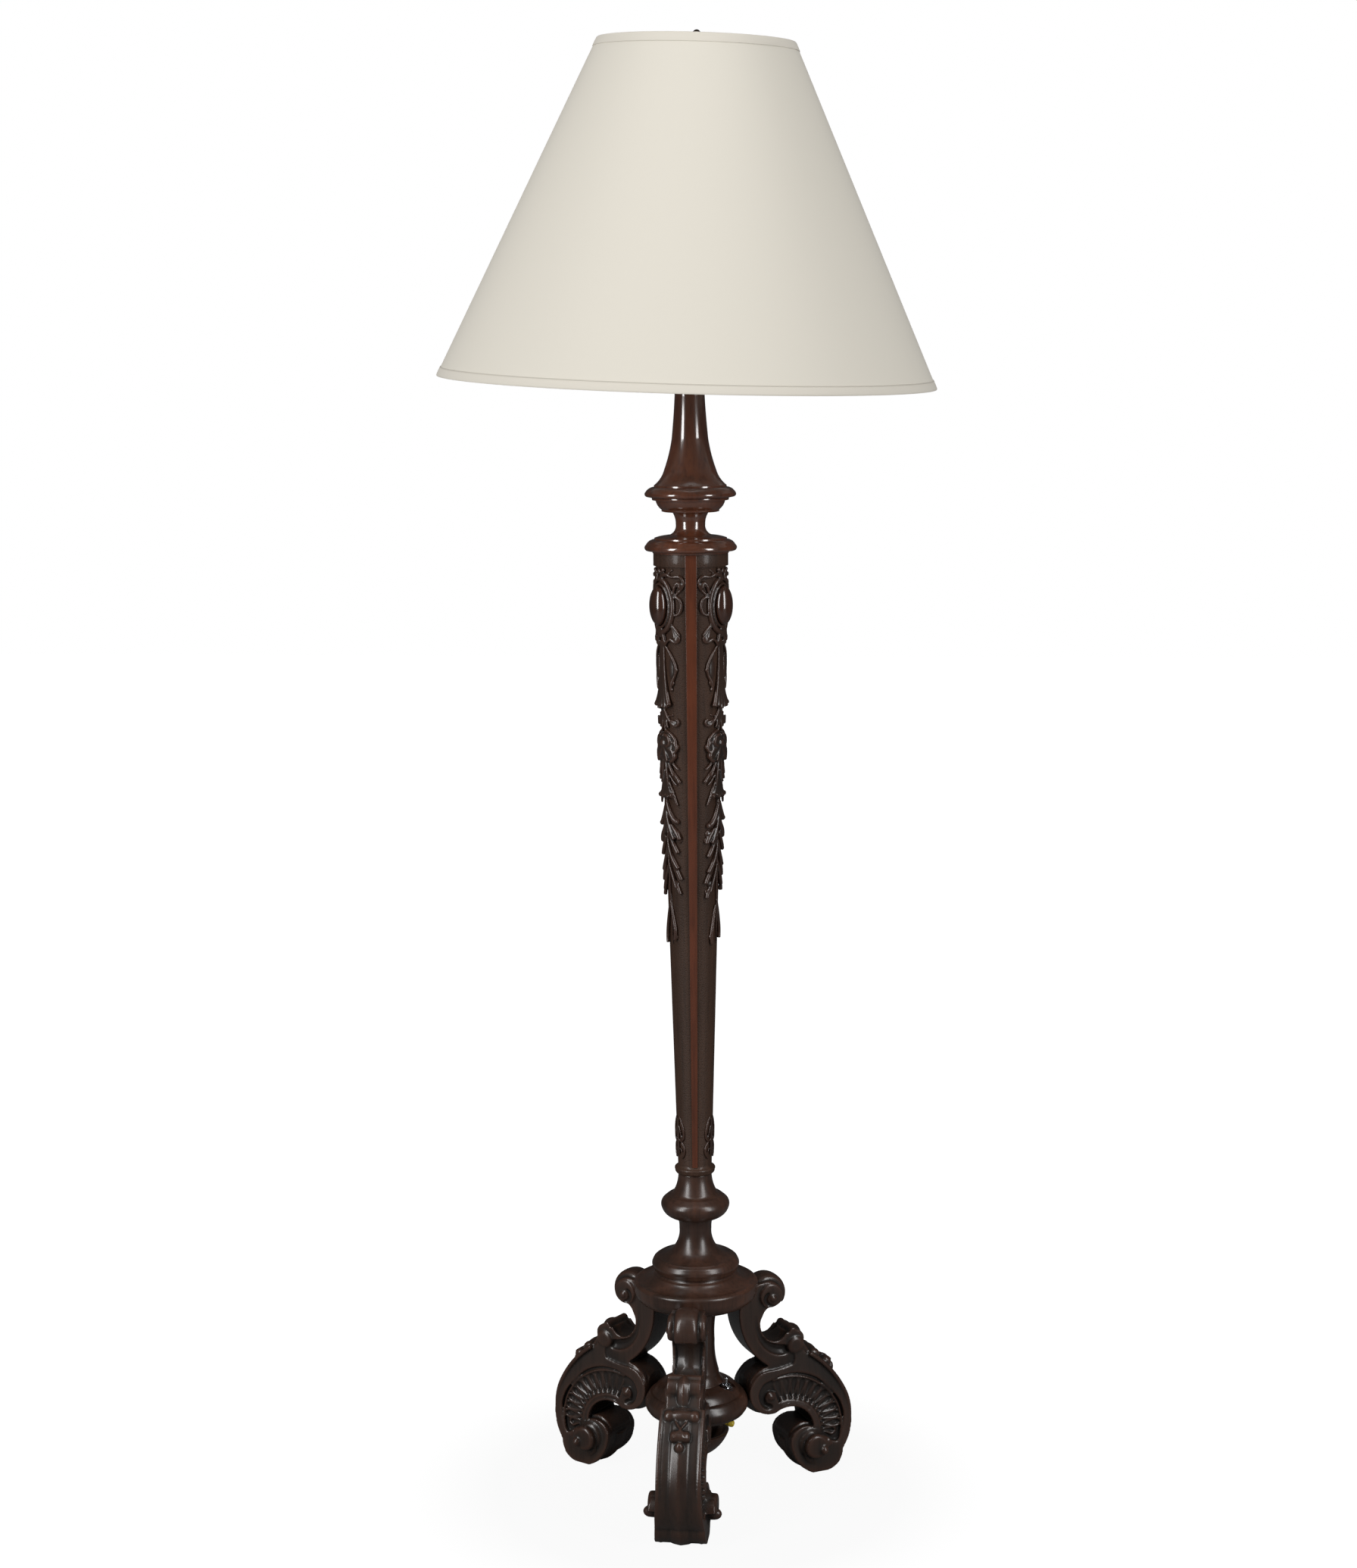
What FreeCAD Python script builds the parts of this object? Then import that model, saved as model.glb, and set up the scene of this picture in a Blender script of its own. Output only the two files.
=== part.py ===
# Floor lamp: a turned and carved wooden post on three scroll legs, with a fabric shade on a harp.
# Millimetres. +Z is up, the origin is on the floor on the post's axis, and the front leg points to -Y.

import FreeCAD, Part
import math
import os
import Sketcher

os.makedirs("parts", exist_ok=True)
doc = FreeCAD.newDocument("FloorLamp")


# Driving dimensions

SIZES = {
    # heights of the turned pieces, and the lowest seats from the floor
    "cup_bottom": 40.0,
    "cup_height": 32.5,
    "disc_bottom": 94.0,
    "disc_height": 37.0,
    "cap_height": 37.0,
    "reel_height": 63.0,
    "knop_height": 56.0,
    "shaft_height": 726.8,
    "spool_height": 62.2,
    "neck_height": 211.0,
    # turned radii
    "cup_radius": 41.0,
    "disc_radius": 61.0,
    "post_radius": 37.0,
    "cap_radius": 73.0,
    "reel_radius": 51.0,
    "knop_radius": 40.3,
    "shaft_foot_radius": 23.8,
    "shaft_low_radius": 20.6,
    "shaft_top_radius": 42.5,
    "spool_radius": 51.5,
    "neck_radius": 51.0,
    # bores, walls and fits
    "pipe_radius": 5.0,
    "pipe_bore": 3.4,
    "bore_gap": 0.2,
    "fit_gap": 0.05,
    "running_gap": 0.08,
    "seat_gap": 0.1,
    "free_gap": 0.3,
    "overrun": 5.0,
    # lower disc and cup hollows
    "disc_wall": 9.0,
    "disc_web": 9.0,
    "cup_wall": 5.0,
    "cup_floor": 8.0,
    # carved shaft
    "band_angle": 17.5,
    "shaft_turn": 5.4,
    "panel_depth": 2.6,
    "band_foot": 11.0,
    "collar_height": 14.0,
    "cabochon_width": 19.0,
    "cabochon_length": 43.0,
    "cabochon_rise": 8.0,
    "cabochon_drop": 58.0,
    "flower_width": 29.0,
    "flower_rise": 9.0,
    "flower_drop": 219.0,
    # legs
    "leg_reach": 193.0,
    "leg_height": 251.0,
    "cap_drop": 20.0,
    "strap_width": 38.0,
    "scroll_width": 46.0,
    "head_roll_width": 48.0,
    "head_roll_radius": 11.0,
    "knee_roll_width": 47.0,
    "knee_roll_radius": 12.5,
    "leaf_width": 25.0,
    "leaf_radius": 8.5,
    "foot_roll_width": 72.0,
    "foot_roll_radius": 18.0,
    "button_stand": 4.0,
    "button_radius": 7.0,
    "fan_depth": 4.0,
    "fan_inner_radius": 41.0,
    "fan_rib_length": 25.0,
    "fan_rib_width": 6.4,
    "fan_rib_rise": 2.4,
    "cove_depth": 3.0,
    "overlap": 0.5,
    "moulding_depth": 2.5,
    "moulding_width": 4.0,
    "moulding_place": 11.5,
    "dowel_radius": 4.0,
    "dowel_length": 30.0,
    "dowel_place": 56.0,
    "screw_radius": 2.4,
    "screw_head_radius": 4.8,
    "screw_length": 34.0,
    "screw_height": 106.0,
    # pipe hardware
    "pipe_bottom": 31.0,
    "socket_gap": 0.6,
    "washer_radius": 13.0,
    "washer_height": 1.6,
    "nut_flat": 7.5,
    "nut_height": 4.5,
    "check_radius": 19.0,
    "check_height": 4.0,
    "slot_bottom": 78.0,
    "slot_height": 9.0,
    # harp and saddle, from the middle of the saddle
    "shade_lean": 3.08,
    "saddle_span": 44.2,
    "saddle_width": 12.0,
    "saddle_height": 1.6,
    "saddle_tab": 14.0,
    "tab_width": 6.0,
    "harp_height": 254.0,
    "harp_wire": 1.75,
    "harp_belly": 58.0,
    "harp_plate": 8.0,
    "stud_radius": 3.1,
    "stud_height": 17.0,
    "sleeve_bore": 4.3,
    "sleeve_wall": 0.9,
    "sleeve_height": 20.0,
    # shade, from the middle of the saddle
    "shade_drop": 88.0,
    "shade_height": 370.0,
    "shade_bottom_radius": 279.5,
    "shade_top_radius": 109.0,
    "shade_wall": 1.2,
    "trim_height": 9.0,
    "trim_wall": 0.6,
    "ring_wire": 1.7,
    "hub_radius": 13.0,
    "hub_height": 1.6,
    "spider_wire": 1.6,
    "finial_height": 38.0,
    "finial_radius": 8.5,
    # socket and bulb
    "socket_radius": 17.6,
    "socket_cap_height": 17.0,
    "socket_shell_height": 42.0,
    "socket_wall": 0.8,
    "liner_wall": 0.9,
    "core_height": 12.0,
    "screw_shell_bore": 13.3,
    "screw_shell_height": 25.0,
    "terminal_radius": 2.6,
    "terminal_length": 3.0,
    "contact_radius": 4.0,
    "bulb_radius": 34.0,
    "bulb_height": 96.0,
    "bulb_cap_radius": 13.1,
    "bulb_cap_height": 24.0,
    "glass_wall": 1.2,
    "stem_radius": 4.5,
    "stem_height": 46.0,
    # toggle switch in the lower disc
    "switch_out": 36.0,
    "switch_front": -9.0,
    "switch_well_radius": 11.5,
    "switch_well_depth": 1.2,
    "bushing_radius": 5.6,
    "bushing_bore": 3.6,
    "bushing_height": 13.0,
    "switch_body_width": 17.0,
    "switch_body_height": 15.0,
    "dress_nut_radius": 7.6,
    "dress_nut_height": 2.4,
    "lever_ball": 2.9,
    "lever_radius": 1.3,
    "lever_tip_radius": 2.1,
    "lever_length": 16.0,
    "lever_tilt": 12.0,
    # wiring
    "wire_radius": 2.4,
    "lead_radius": 1.0,
    "connector_radius": 4.2,
    "connector_length": 18.0,
    "connector_reach": 28.0,
}

LEG_NAMES = ("front", "right", "left")
LEG_COUNT = len(LEG_NAMES)
FRONT_DIRECTION = -90.0

sheet = doc.addObject("Spreadsheet::Sheet", "Sizes")
for row, (alias, number) in enumerate(SIZES.items(), start=1):
    sheet.set("A%d" % row, alias)
    sheet.set("B%d" % row, str(number))
    sheet.setAlias("B%d" % row, alias)
doc.recompute()


class Size:
    """A length that carries its number and the expression that binds it to the sheet."""

    def __init__(self, number, text):
        self.number = number
        self.text = text

    def __add__(self, other):
        other = as_size(other)
        return Size(self.number + other.number, "(%s + %s)" % (self.text, other.text))

    def __sub__(self, other):
        other = as_size(other)
        return Size(self.number - other.number, "(%s - %s)" % (self.text, other.text))

    def __mul__(self, factor):
        return Size(self.number * factor, "(%s * %r)" % (self.text, factor))

    def __truediv__(self, factor):
        return Size(self.number / factor, "(%s / %r)" % (self.text, factor))

    def __neg__(self):
        return Size(-self.number, "(-%s)" % self.text)


def as_size(value):
    """A plain zero or number as a Size."""
    return value if isinstance(value, Size) else Size(float(value), "%r" % float(value))


class Sizes:
    """Each alias of the sheet as a Size."""

    def __getattr__(self, alias):
        return Size(SIZES[alias], "Sizes." + alias)


S = Sizes()

# Seats on the post, each from the piece below it

POST_BOTTOM = S.disc_bottom + S.disc_height
CAP_BOTTOM = S.leg_height - S.cap_drop
POST_HEIGHT = CAP_BOTTOM - POST_BOTTOM
REEL_BOTTOM = CAP_BOTTOM + S.cap_height
KNOP_BOTTOM = REEL_BOTTOM + S.reel_height
SHAFT_BOTTOM = KNOP_BOTTOM + S.knop_height
SPOOL_BOTTOM = SHAFT_BOTTOM + S.shaft_height
NECK_BOTTOM = SPOOL_BOTTOM + S.spool_height
CHECK_BOTTOM = NECK_BOTTOM + S.neck_height
SADDLE_MIDDLE = CHECK_BOTTOM + S.check_height + S.free_gap * 3.0 + S.saddle_height / 2.0
TOP_NUT_BOTTOM = SADDLE_MIDDLE + S.saddle_height / 2.0 + S.free_gap * 2.0
SOCKET_BOTTOM = TOP_NUT_BOTTOM + S.nut_height
WOOD_BORE = S.pipe_radius + S.bore_gap
DISC_HOLLOW_SHARE = 0.84
HARP_FOOT = S.saddle_span + S.harp_wire + S.fit_gap


# Helpers

def new_body(name):
    """An empty body whose label names its file."""
    body = doc.addObject("PartDesign::Body", name)
    body.Label = name
    return body


def origin_plane(body, role):
    """The body's own origin plane of that role."""
    return [item for item in body.Origin.OriginFeatures if item.Role == role][0]


def bind(item, path, size):
    """Bind one property to the sheet."""
    item.setExpression(path, as_size(size).text)


def new_sketch(body, name, role):
    """A sketch on one of the body's own origin planes."""
    sketch = body.newObject("Sketcher::SketchObject", name)
    sketch.AttachmentSupport = [(origin_plane(body, role), "")]
    sketch.MapMode = "FlatFace"
    return sketch


def pin_point(sketch, edge, end, point):
    """Hold one point of a sketch at two bound distances from its origin."""
    for kind, size in zip(("DistanceX", "DistanceY"), point):
        size = as_size(size)
        index = sketch.addConstraint(Sketcher.Constraint(kind, -1, 1, edge, end, size.number))
        bind(sketch, "Constraints[%d]" % index, size)


def vector(point):
    """A sketch point as a vector."""
    return FreeCAD.Vector(as_size(point[0]).number, as_size(point[1]).number, 0)


def draw(body, name, role, path, closed=True):
    """An outline of edges. A step is the end of a line, or an arc's end and a point that it passes."""
    sketch = new_sketch(body, name, role)
    first = 0 if closed else 1
    for index in range(first, len(path)):
        start, end = path[index - 1][:2], path[index][:2]
        if len(path[index]) == 4:
            through = path[index][2:]
            arc = Part.Arc(vector(start), vector(through), vector(end))
            edge = sketch.addGeometry(arc, False)
            mark = sketch.addGeometry(Part.Point(vector(through)), True)
            pin_point(sketch, mark, 1, through)
            sketch.addConstraint(Sketcher.Constraint("PointOnObject", mark, 1, edge))
        else:
            edge = sketch.addGeometry(Part.LineSegment(vector(start), vector(end)), False)
        near_start = (sketch.getPoint(edge, 1) - vector(start)).Length
        far_start = (sketch.getPoint(edge, 2) - vector(start)).Length
        start_end, end_end = (1, 2) if near_start < far_start else (2, 1)
        pin_point(sketch, edge, start_end, start)
        pin_point(sketch, edge, end_end, end)
    return sketch


def circle(body, name, role, centre, radius, hole=None):
    """A round outline, or a ring where a hole's radius is given."""
    sketch = new_sketch(body, name, role)
    for size in (radius, hole):
        if size is None:
            continue
        size = as_size(size)
        edge = sketch.addGeometry(Part.Circle(vector(centre), FreeCAD.Vector(0, 0, 1), size.number), False)
        pin_point(sketch, edge, 3, centre)
        index = sketch.addConstraint(Sketcher.Constraint("Radius", edge, size.number))
        bind(sketch, "Constraints[%d]" % index, size)
    return sketch


def revolve(body, name, sketch, angle=360.0, kind="PartDesign::Revolution"):
    """Turn an outline about the sketch's upright axis."""
    feature = body.newObject(kind, name)
    feature.Profile = sketch
    feature.ReferenceAxis = (sketch, ["V_Axis"])
    feature.Angle = angle
    return feature


def pad(body, name, sketch, length, middle=False, kind="PartDesign::Pad"):
    """Give an outline its thickness, one way or to both sides."""
    feature = body.newObject(kind, name)
    feature.Profile = sketch
    feature.Midplane = middle
    bind(feature, "Length", length)
    return feature


def repeat_round(body, name, features, count):
    """Repeat features about the body's upright axis."""
    pattern = body.newObject("PartDesign::PolarPattern", name)
    pattern.Originals = features
    pattern.Axis = ([item for item in body.Origin.OriginFeatures if item.Role == "Z_Axis"][0], [""])
    pattern.Angle = 360.0
    pattern.Occurrences = count
    body.Tip = pattern
    return pattern


def place(item, x=0, y=0, z=0):
    """Put a sub-part in its place."""
    for path, size in (("x", x), ("y", y), ("z", z)):
        bind(item, "Placement.Base." + path, size)


def lean(item):
    """Put a sub-part of the harp and shade in its place, leaning about the middle of the saddle."""
    item.Placement = FreeCAD.Placement(FreeCAD.Vector(), FreeCAD.Rotation(LEAN_AXIS, SIZES["shade_lean"]))
    bind(item, "Placement.Rotation.Angle", S.shade_lean)
    place(item, z=SADDLE_MIDDLE)


def from_shares(radius, height, shares):
    """An outline's steps from shares of a radius and a height."""
    return [tuple(size * share for share, size in zip(step, (radius, height) * 2)) for step in shares]


def turned(name, bottom, path):
    """A piece turned about the post's axis."""
    body = new_body(name)
    revolve(body, name + "_turning", draw(body, name + "_outline", "XZ_Plane", path))
    place(body, z=bottom)
    return body


def bored(radius, height, bore, shares, lowest=0):
    """A turned outline closed by its bore."""
    return [(bore, lowest)] + from_shares(radius, height, shares) + [(bore, height)]


def about_post(angle):
    """A turn about the post's axis."""
    return FreeCAD.Rotation(FreeCAD.Vector(0, 0, 1), angle)


# The direction in which the shade's top leans, level, and the axis that it leans about
LEAN_AXIS = FreeCAD.Vector(2.08, 2.25, 0)


# Wooden post, from the bottom up

CUP_SHARES = [(0.34, 0.0), (1.0, 1.0, 0.83, 0.42)]

DISC_TOP_SHARES = [
    (0.985, 0.12, 0.955, 0.05),
    (0.955, 0.50, 1.0, 0.30),
    (0.86, 0.62, 0.92, 0.58),
    (0.84, 0.67),
    (0.60, 0.955, 0.74, 0.86),
    (0.52, 1.0),
]

POST_SHARES = [
    (0.88, 0.0),
    (0.72, 0.13, 0.775, 0.05),
    (0.595, 0.50, 0.62, 0.30),
    (0.66, 0.88, 0.605, 0.74),
    (0.76, 1.0),
]

CAP_SHARES = [
    (0.85, 0.0),
    (0.993, 0.40, 0.955, 0.16),
    (1.0, 0.56),
    (0.985, 0.66, 1.0, 0.62),
    (0.95, 0.695),
    (0.68, 0.90, 0.76, 0.755),
    (0.625, 1.0, 0.635, 0.96),
]

REEL_SHARES = [
    (0.90, 0.0),
    (0.985, 0.08, 0.96, 0.03),
    (0.985, 0.20, 1.01, 0.14),
    (0.91, 0.265, 0.955, 0.245),
    (0.89, 0.285),
    (0.55, 0.40, 0.67, 0.33),
    (0.372, 0.82, 0.395, 0.62),
    (0.40, 1.0, 0.378, 0.92),
]

KNOP_SHARES = [
    (0.64, 0.0),
    (0.98, 0.22, 0.86, 0.085),
    (0.90, 0.43, 0.995, 0.33),
    (0.80, 0.50, 0.86, 0.46),
    (0.78, 0.515),
    (0.62, 0.61, 0.68, 0.55),
    (0.487, 1.0, 0.52, 0.80),
]

SPOOL_SHARES = [
    (0.84, 0.0),
    (0.86, 0.05, 0.835, 0.02),
    (0.985, 0.09, 0.93, 0.06),
    (0.985, 0.17, 1.01, 0.13),
    (0.86, 0.29, 0.93, 0.25),
    (0.80, 0.315),
    (0.50, 0.36, 0.62, 0.325),
    (0.336, 0.56, 0.375, 0.43),
    (0.40, 0.745, 0.345, 0.665),
    (0.56, 0.76),
    (0.565, 0.80),
    (0.74, 0.88, 0.63, 0.86),
    (0.86, 0.955, 0.83, 0.90),
    (0.87, 1.0),
]

NECK_SHARES = [
    (0.90, 0.0),
    (0.99, 0.012, 0.955, 0.004),
    (0.985, 0.045, 1.01, 0.03),
    (0.86, 0.072, 0.93, 0.062),
    (0.80, 0.076),
    (0.57, 0.165, 0.65, 0.105),
    (0.37, 0.40, 0.43, 0.27),
    (0.325, 0.62, 0.33, 0.55),
    (0.325, 0.955),
    (0.37, 0.97),
    (0.37, 1.0),
]


def pendant_cup():
    """The turned cup that hides the pipe's lower end."""
    inner = S.cup_radius - S.cup_wall
    outside = from_shares(S.cup_radius, S.cup_height, CUP_SHARES)
    inside = [
        (inner, S.cup_height),
        (S.cup_radius * 0.34, S.cup_floor, inner * 0.82, S.cup_height * 0.50),
        (WOOD_BORE, S.cup_floor),
    ]
    turned("pendant_cup", S.cup_bottom, [(WOOD_BORE, 0)] + outside + inside)


def lower_disc():
    """The turned disc that the legs' inner scrolls meet, hollow below for the wiring."""
    ceiling = S.disc_height * DISC_HOLLOW_SHARE - S.disc_web
    wall = S.disc_radius - S.disc_wall
    path = [(WOOD_BORE, S.disc_height), (WOOD_BORE, ceiling), (wall * 0.94, ceiling), (wall, 0)]
    path += [(S.disc_radius * 0.935, 0)] + from_shares(S.disc_radius, S.disc_height, DISC_TOP_SHARES)
    body = turned("lower_disc", S.disc_bottom, path)
    top = new_sketch_circle_at(body, "switch_well", SWITCH_TOP - S.disc_bottom, S.switch_well_radius)
    pad(body, "switch_well_cut", top, S.overrun * 2.0, kind="PartDesign::Pocket").Reversed = True
    hole = new_sketch_circle_at(body, "switch_hole", S.overrun * 9.0, S.bushing_radius + S.fit_gap)
    pad(body, "switch_hole_cut", hole, S.overrun * 9.0, kind="PartDesign::Pocket")
    screw_holes(body)


def screw_holes(body):
    """Sunk holes through the disc's wall for the screws into the legs."""
    wall = S.disc_radius - S.disc_wall
    height = S.screw_height - S.disc_bottom
    head = S.screw_head_radius + S.fit_gap
    shank = S.screw_radius + S.fit_gap
    for index in range(LEG_COUNT):
        sink = body.newObject("PartDesign::SubtractiveCylinder", "screw_sink")
        bind(sink, "Radius", head)
        bind(sink, "Height", S.overrun)
        turn_about_post(sink, wall - S.overrun, height, index, 90.0)
        cone = body.newObject("PartDesign::SubtractiveCone", "screw_cone")
        bind(cone, "Radius1", head)
        bind(cone, "Radius2", shank)
        bind(cone, "Height", S.screw_head_radius - S.screw_radius)
        turn_about_post(cone, wall, height, index, 90.0)
        hole = body.newObject("PartDesign::SubtractiveCylinder", "screw_hole")
        bind(hole, "Radius", shank)
        bind(hole, "Height", S.disc_wall + S.overrun)
        turn_about_post(hole, wall, height, index, 90.0)


def base_cap():
    """The wide moulded cap over the legs' heads, with a dowel hole over each."""
    body = turned("base_cap", CAP_BOTTOM, bored(S.cap_radius, S.cap_height, WOOD_BORE, CAP_SHARES))
    hole = body.newObject("PartDesign::SubtractiveCylinder", "dowel_hole")
    bind(hole, "Radius", S.dowel_radius + S.fit_gap)
    bind(hole, "Height", S.dowel_length / 2.0 + S.fit_gap)
    place(hole, 0, -S.dowel_place, 0)
    repeat_round(body, "dowel_holes", [hole], LEG_COUNT)


def new_sketch_circle_at(body, name, height, radius):
    """A round outline over the switch's place, at a height in the body."""
    sketch = circle(body, name, "XY_Plane", (S.switch_out, S.switch_front), radius)
    bind(sketch, "AttachmentOffset.Base.z", height)
    return sketch


SWITCH_TOP = S.disc_bottom + S.disc_height * DISC_HOLLOW_SHARE - S.switch_well_depth


def carved_shaft():
    """The tapering shaft: three smooth bands stand over sunk panels that carry carved bosses."""
    body = new_body("carved_shaft")
    low = S.band_foot
    high = S.shaft_height - S.collar_height
    ground_low = S.shaft_low_radius - S.panel_depth * 0.3
    ground_high = S.shaft_top_radius - S.panel_depth
    foot = from_shares(S.shaft_foot_radius, S.band_foot, [(0.82, 0.0), (0.98, 0.42, 0.95, 0.15)])
    foot += from_shares(S.shaft_foot_radius, S.band_foot, [(0.90, 0.78, 1.0, 0.62)])
    path = [(WOOD_BORE, 0)] + foot
    path += [(ground_low, low), (ground_high, high), (S.shaft_top_radius, high)]
    path += [(S.shaft_top_radius, S.shaft_height), (WOOD_BORE, S.shaft_height)]
    revolve(body, "ground", draw(body, "ground_outline", "XZ_Plane", path))
    core = WOOD_BORE * 2.0
    band = [(core, low), (S.shaft_low_radius, low), (S.shaft_top_radius, high), (core, high)]
    cabochon = boss(body, "cabochon", S.cabochon_drop, S.cabochon_width, S.cabochon_length, S.cabochon_rise)
    flower = boss(body, "flower", S.flower_drop, S.flower_width, S.flower_width, S.flower_rise)
    repeat_round(body, "bosses", [cabochon, flower], LEG_COUNT)
    for index in range(LEG_COUNT):
        outline = draw(body, "band_outline", "XZ_Plane", band)
        turn = FreeCAD.Rotation(FreeCAD.Vector(0, 1, 0), 360.0 / LEG_COUNT * index)
        outline.AttachmentOffset = FreeCAD.Placement(FreeCAD.Vector(), turn)
        revolve(body, "band", outline, SIZES["band_angle"]).Midplane = True
    body.Placement = FreeCAD.Placement(FreeCAD.Vector(), about_post(FRONT_DIRECTION + SIZES["shaft_turn"]))
    place(body, z=SHAFT_BOTTOM)


def boss(body, name, drop, width, length, rise):
    """A carved oval boss on the middle of a panel, a set way below the shaft's top."""
    direction = math.radians(360.0 / LEG_COUNT / 2.0)
    taper = (SIZES["shaft_top_radius"] - SIZES["shaft_low_radius"]) / SIZES["shaft_height"]
    ground = S.shaft_top_radius - S.panel_depth - drop * taper
    feature = body.newObject("PartDesign::AdditiveEllipsoid", name)
    bind(feature, "Radius1", length / 2.0)
    bind(feature, "Radius2", rise)
    bind(feature, "Radius3", width / 2.0)
    feature.Placement = FreeCAD.Placement(FreeCAD.Vector(), about_post(math.degrees(direction)))
    place(feature, ground * math.cos(direction), ground * math.sin(direction), S.shaft_height - drop)
    return feature


# Scroll legs

# Outline of a leg, as shares of its reach and its height
LEG_SHARES = [
    (0.456, 0.554, 0.307, 0.430),
    (0.249, 0.845, 0.290, 0.697),
    (0.440, 1.000, 0.295, 0.950),
    (0.580, 0.920, 0.534, 0.980),
    (0.534, 0.853, 0.588, 0.878),
    (0.461, 0.851),
    (0.572, 0.706, 0.377, 0.745),
    (0.604, 0.723),
    (0.694, 0.645, 0.683, 0.713),
    (0.725, 0.602),
    (0.964, 0.390, 0.870, 0.500),
    (0.933, 0.096, 1.000, 0.239),
    (0.777, 0.000, 0.865, 0.026),
    (0.725, 0.000),
    (0.580, 0.159, 0.632, 0.058),
    (0.632, 0.235, 0.591, 0.207),
    (0.736, 0.239, 0.690, 0.247),
    (0.487, 0.339, 0.684, 0.329),
]
OUTER_EDGE = 10

# The wider lower scroll, which leaves the strap at the inner volute and meets it at the knee
SCROLL_TOP_SHARES = [(0.456, 0.554, 0.307, 0.430), (0.725, 0.602, 0.600, 0.562)]

# The sunk fan between the scroll's rim and the opening's border, which runs on round the volute's eye
FAN_SHARES = [
    (0.446, 0.502, 0.658, 0.528),
    (0.415, 0.371, 0.370, 0.422),
    (0.456, 0.373),
    (0.438, 0.450, 0.412, 0.414),
    (0.482, 0.442),
    (0.500, 0.388),
    (0.785, 0.225, 0.708, 0.361),
    (0.902, 0.145, 0.829, 0.169),
    (0.850, 0.430, 0.951, 0.263),
]

# The hollow between the C-curve's rim and its lip, which deepens under the knee
COVE_SHARES = [
    (0.358, 0.733, 0.466, 0.653),
    (0.611, 0.616, 0.461, 0.617),
    (0.601, 0.661),
]

# A strip that straddles the scroll's front edge, for the two sunk mouldings
MOULDING_SHARES = [
    (0.955, 0.075),
    (0.985, 0.398, 1.020, 0.239),
    (0.948, 0.384),
    (0.917, 0.107, 0.984, 0.239),
]

OPENING_SHARE = (0.576, 0.239)
FAN_RIB_SPAN = 118.0
FAN_RIB_START = -14.0
FAN_RIB_COUNT = 11
VOLUTE_EYE_SHARE = (0.448, 0.424)
HEAD_ROLL_SHARE = (0.487, 0.900)
KNEE_ROLL_SHARE = (0.637, 0.677)
FOOT_ROLL_SHARE = (0.720, 0.151)
LEAF_SHARES = [(0.767, 0.576), (0.883, 0.508)]
NARROW_SHARE = 0.2
KNEE_END_SHARE = 0.85
KNEE_BEAD_SHARE = 0.40
EYE_SHARE = 0.70


def leg_point(share):
    """A place on the leg's side, from shares of its reach and its height."""
    return (S.leg_reach * share[0], S.leg_height * share[1])


def roll(body, name, share, radius, width):
    """A round roll across the leg, centred on its thickness."""
    return pad(body, name, circle(body, name + "_outline", "XZ_Plane", leg_point(share), radius), width, True)


def sink(body, name, table, width, depth, side):
    """Sink a carved field into one side of the leg."""
    sketch = draw(body, name + "_outline", "XZ_Plane", from_shares(S.leg_reach, S.leg_height, table))
    bind(sketch, "AttachmentOffset.Base.z", width * (side / 2.0))
    cut = pad(body, name + "_cut", sketch, depth, kind="PartDesign::Pocket")
    cut.Reversed = side < 0


def fan_ribs(body, side):
    """The fan's ribs on one side, set round the opening's middle on the sunk field."""
    inner = S.fan_inner_radius
    outer = inner + S.fan_rib_length
    narrow = S.fan_rib_width * NARROW_SHARE
    wide = S.fan_rib_width / 2.0
    rib = [(inner, narrow), (inner, -narrow), (outer, -wide), (outer, wide, outer + wide, 0)]
    sketch = draw(body, "rib_outline", "XZ_Plane", rib)
    across, up = leg_point(OPENING_SHARE)
    bind(sketch, "AttachmentOffset.Base.x", across)
    bind(sketch, "AttachmentOffset.Base.y", up)
    bind(sketch, "AttachmentOffset.Base.z", (S.scroll_width / 2.0 - S.fan_depth - S.overlap) * side)
    turn = FreeCAD.Rotation(FreeCAD.Vector(0, 0, 1), FAN_RIB_START)
    sketch.AttachmentOffset = FreeCAD.Placement(sketch.AttachmentOffset.Base, turn)
    bar = pad(body, "fan_rib", sketch, S.fan_rib_rise + S.overlap)
    bar.Reversed = side < 0
    rest = body.newObject("PartDesign::PolarPattern", "fan_ribs")
    rest.Originals = [bar]
    rest.Axis = (sketch, ["N_Axis"])
    rest.Angle = FAN_RIB_SPAN
    rest.Occurrences = FAN_RIB_COUNT
    body.Tip = rest


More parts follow.
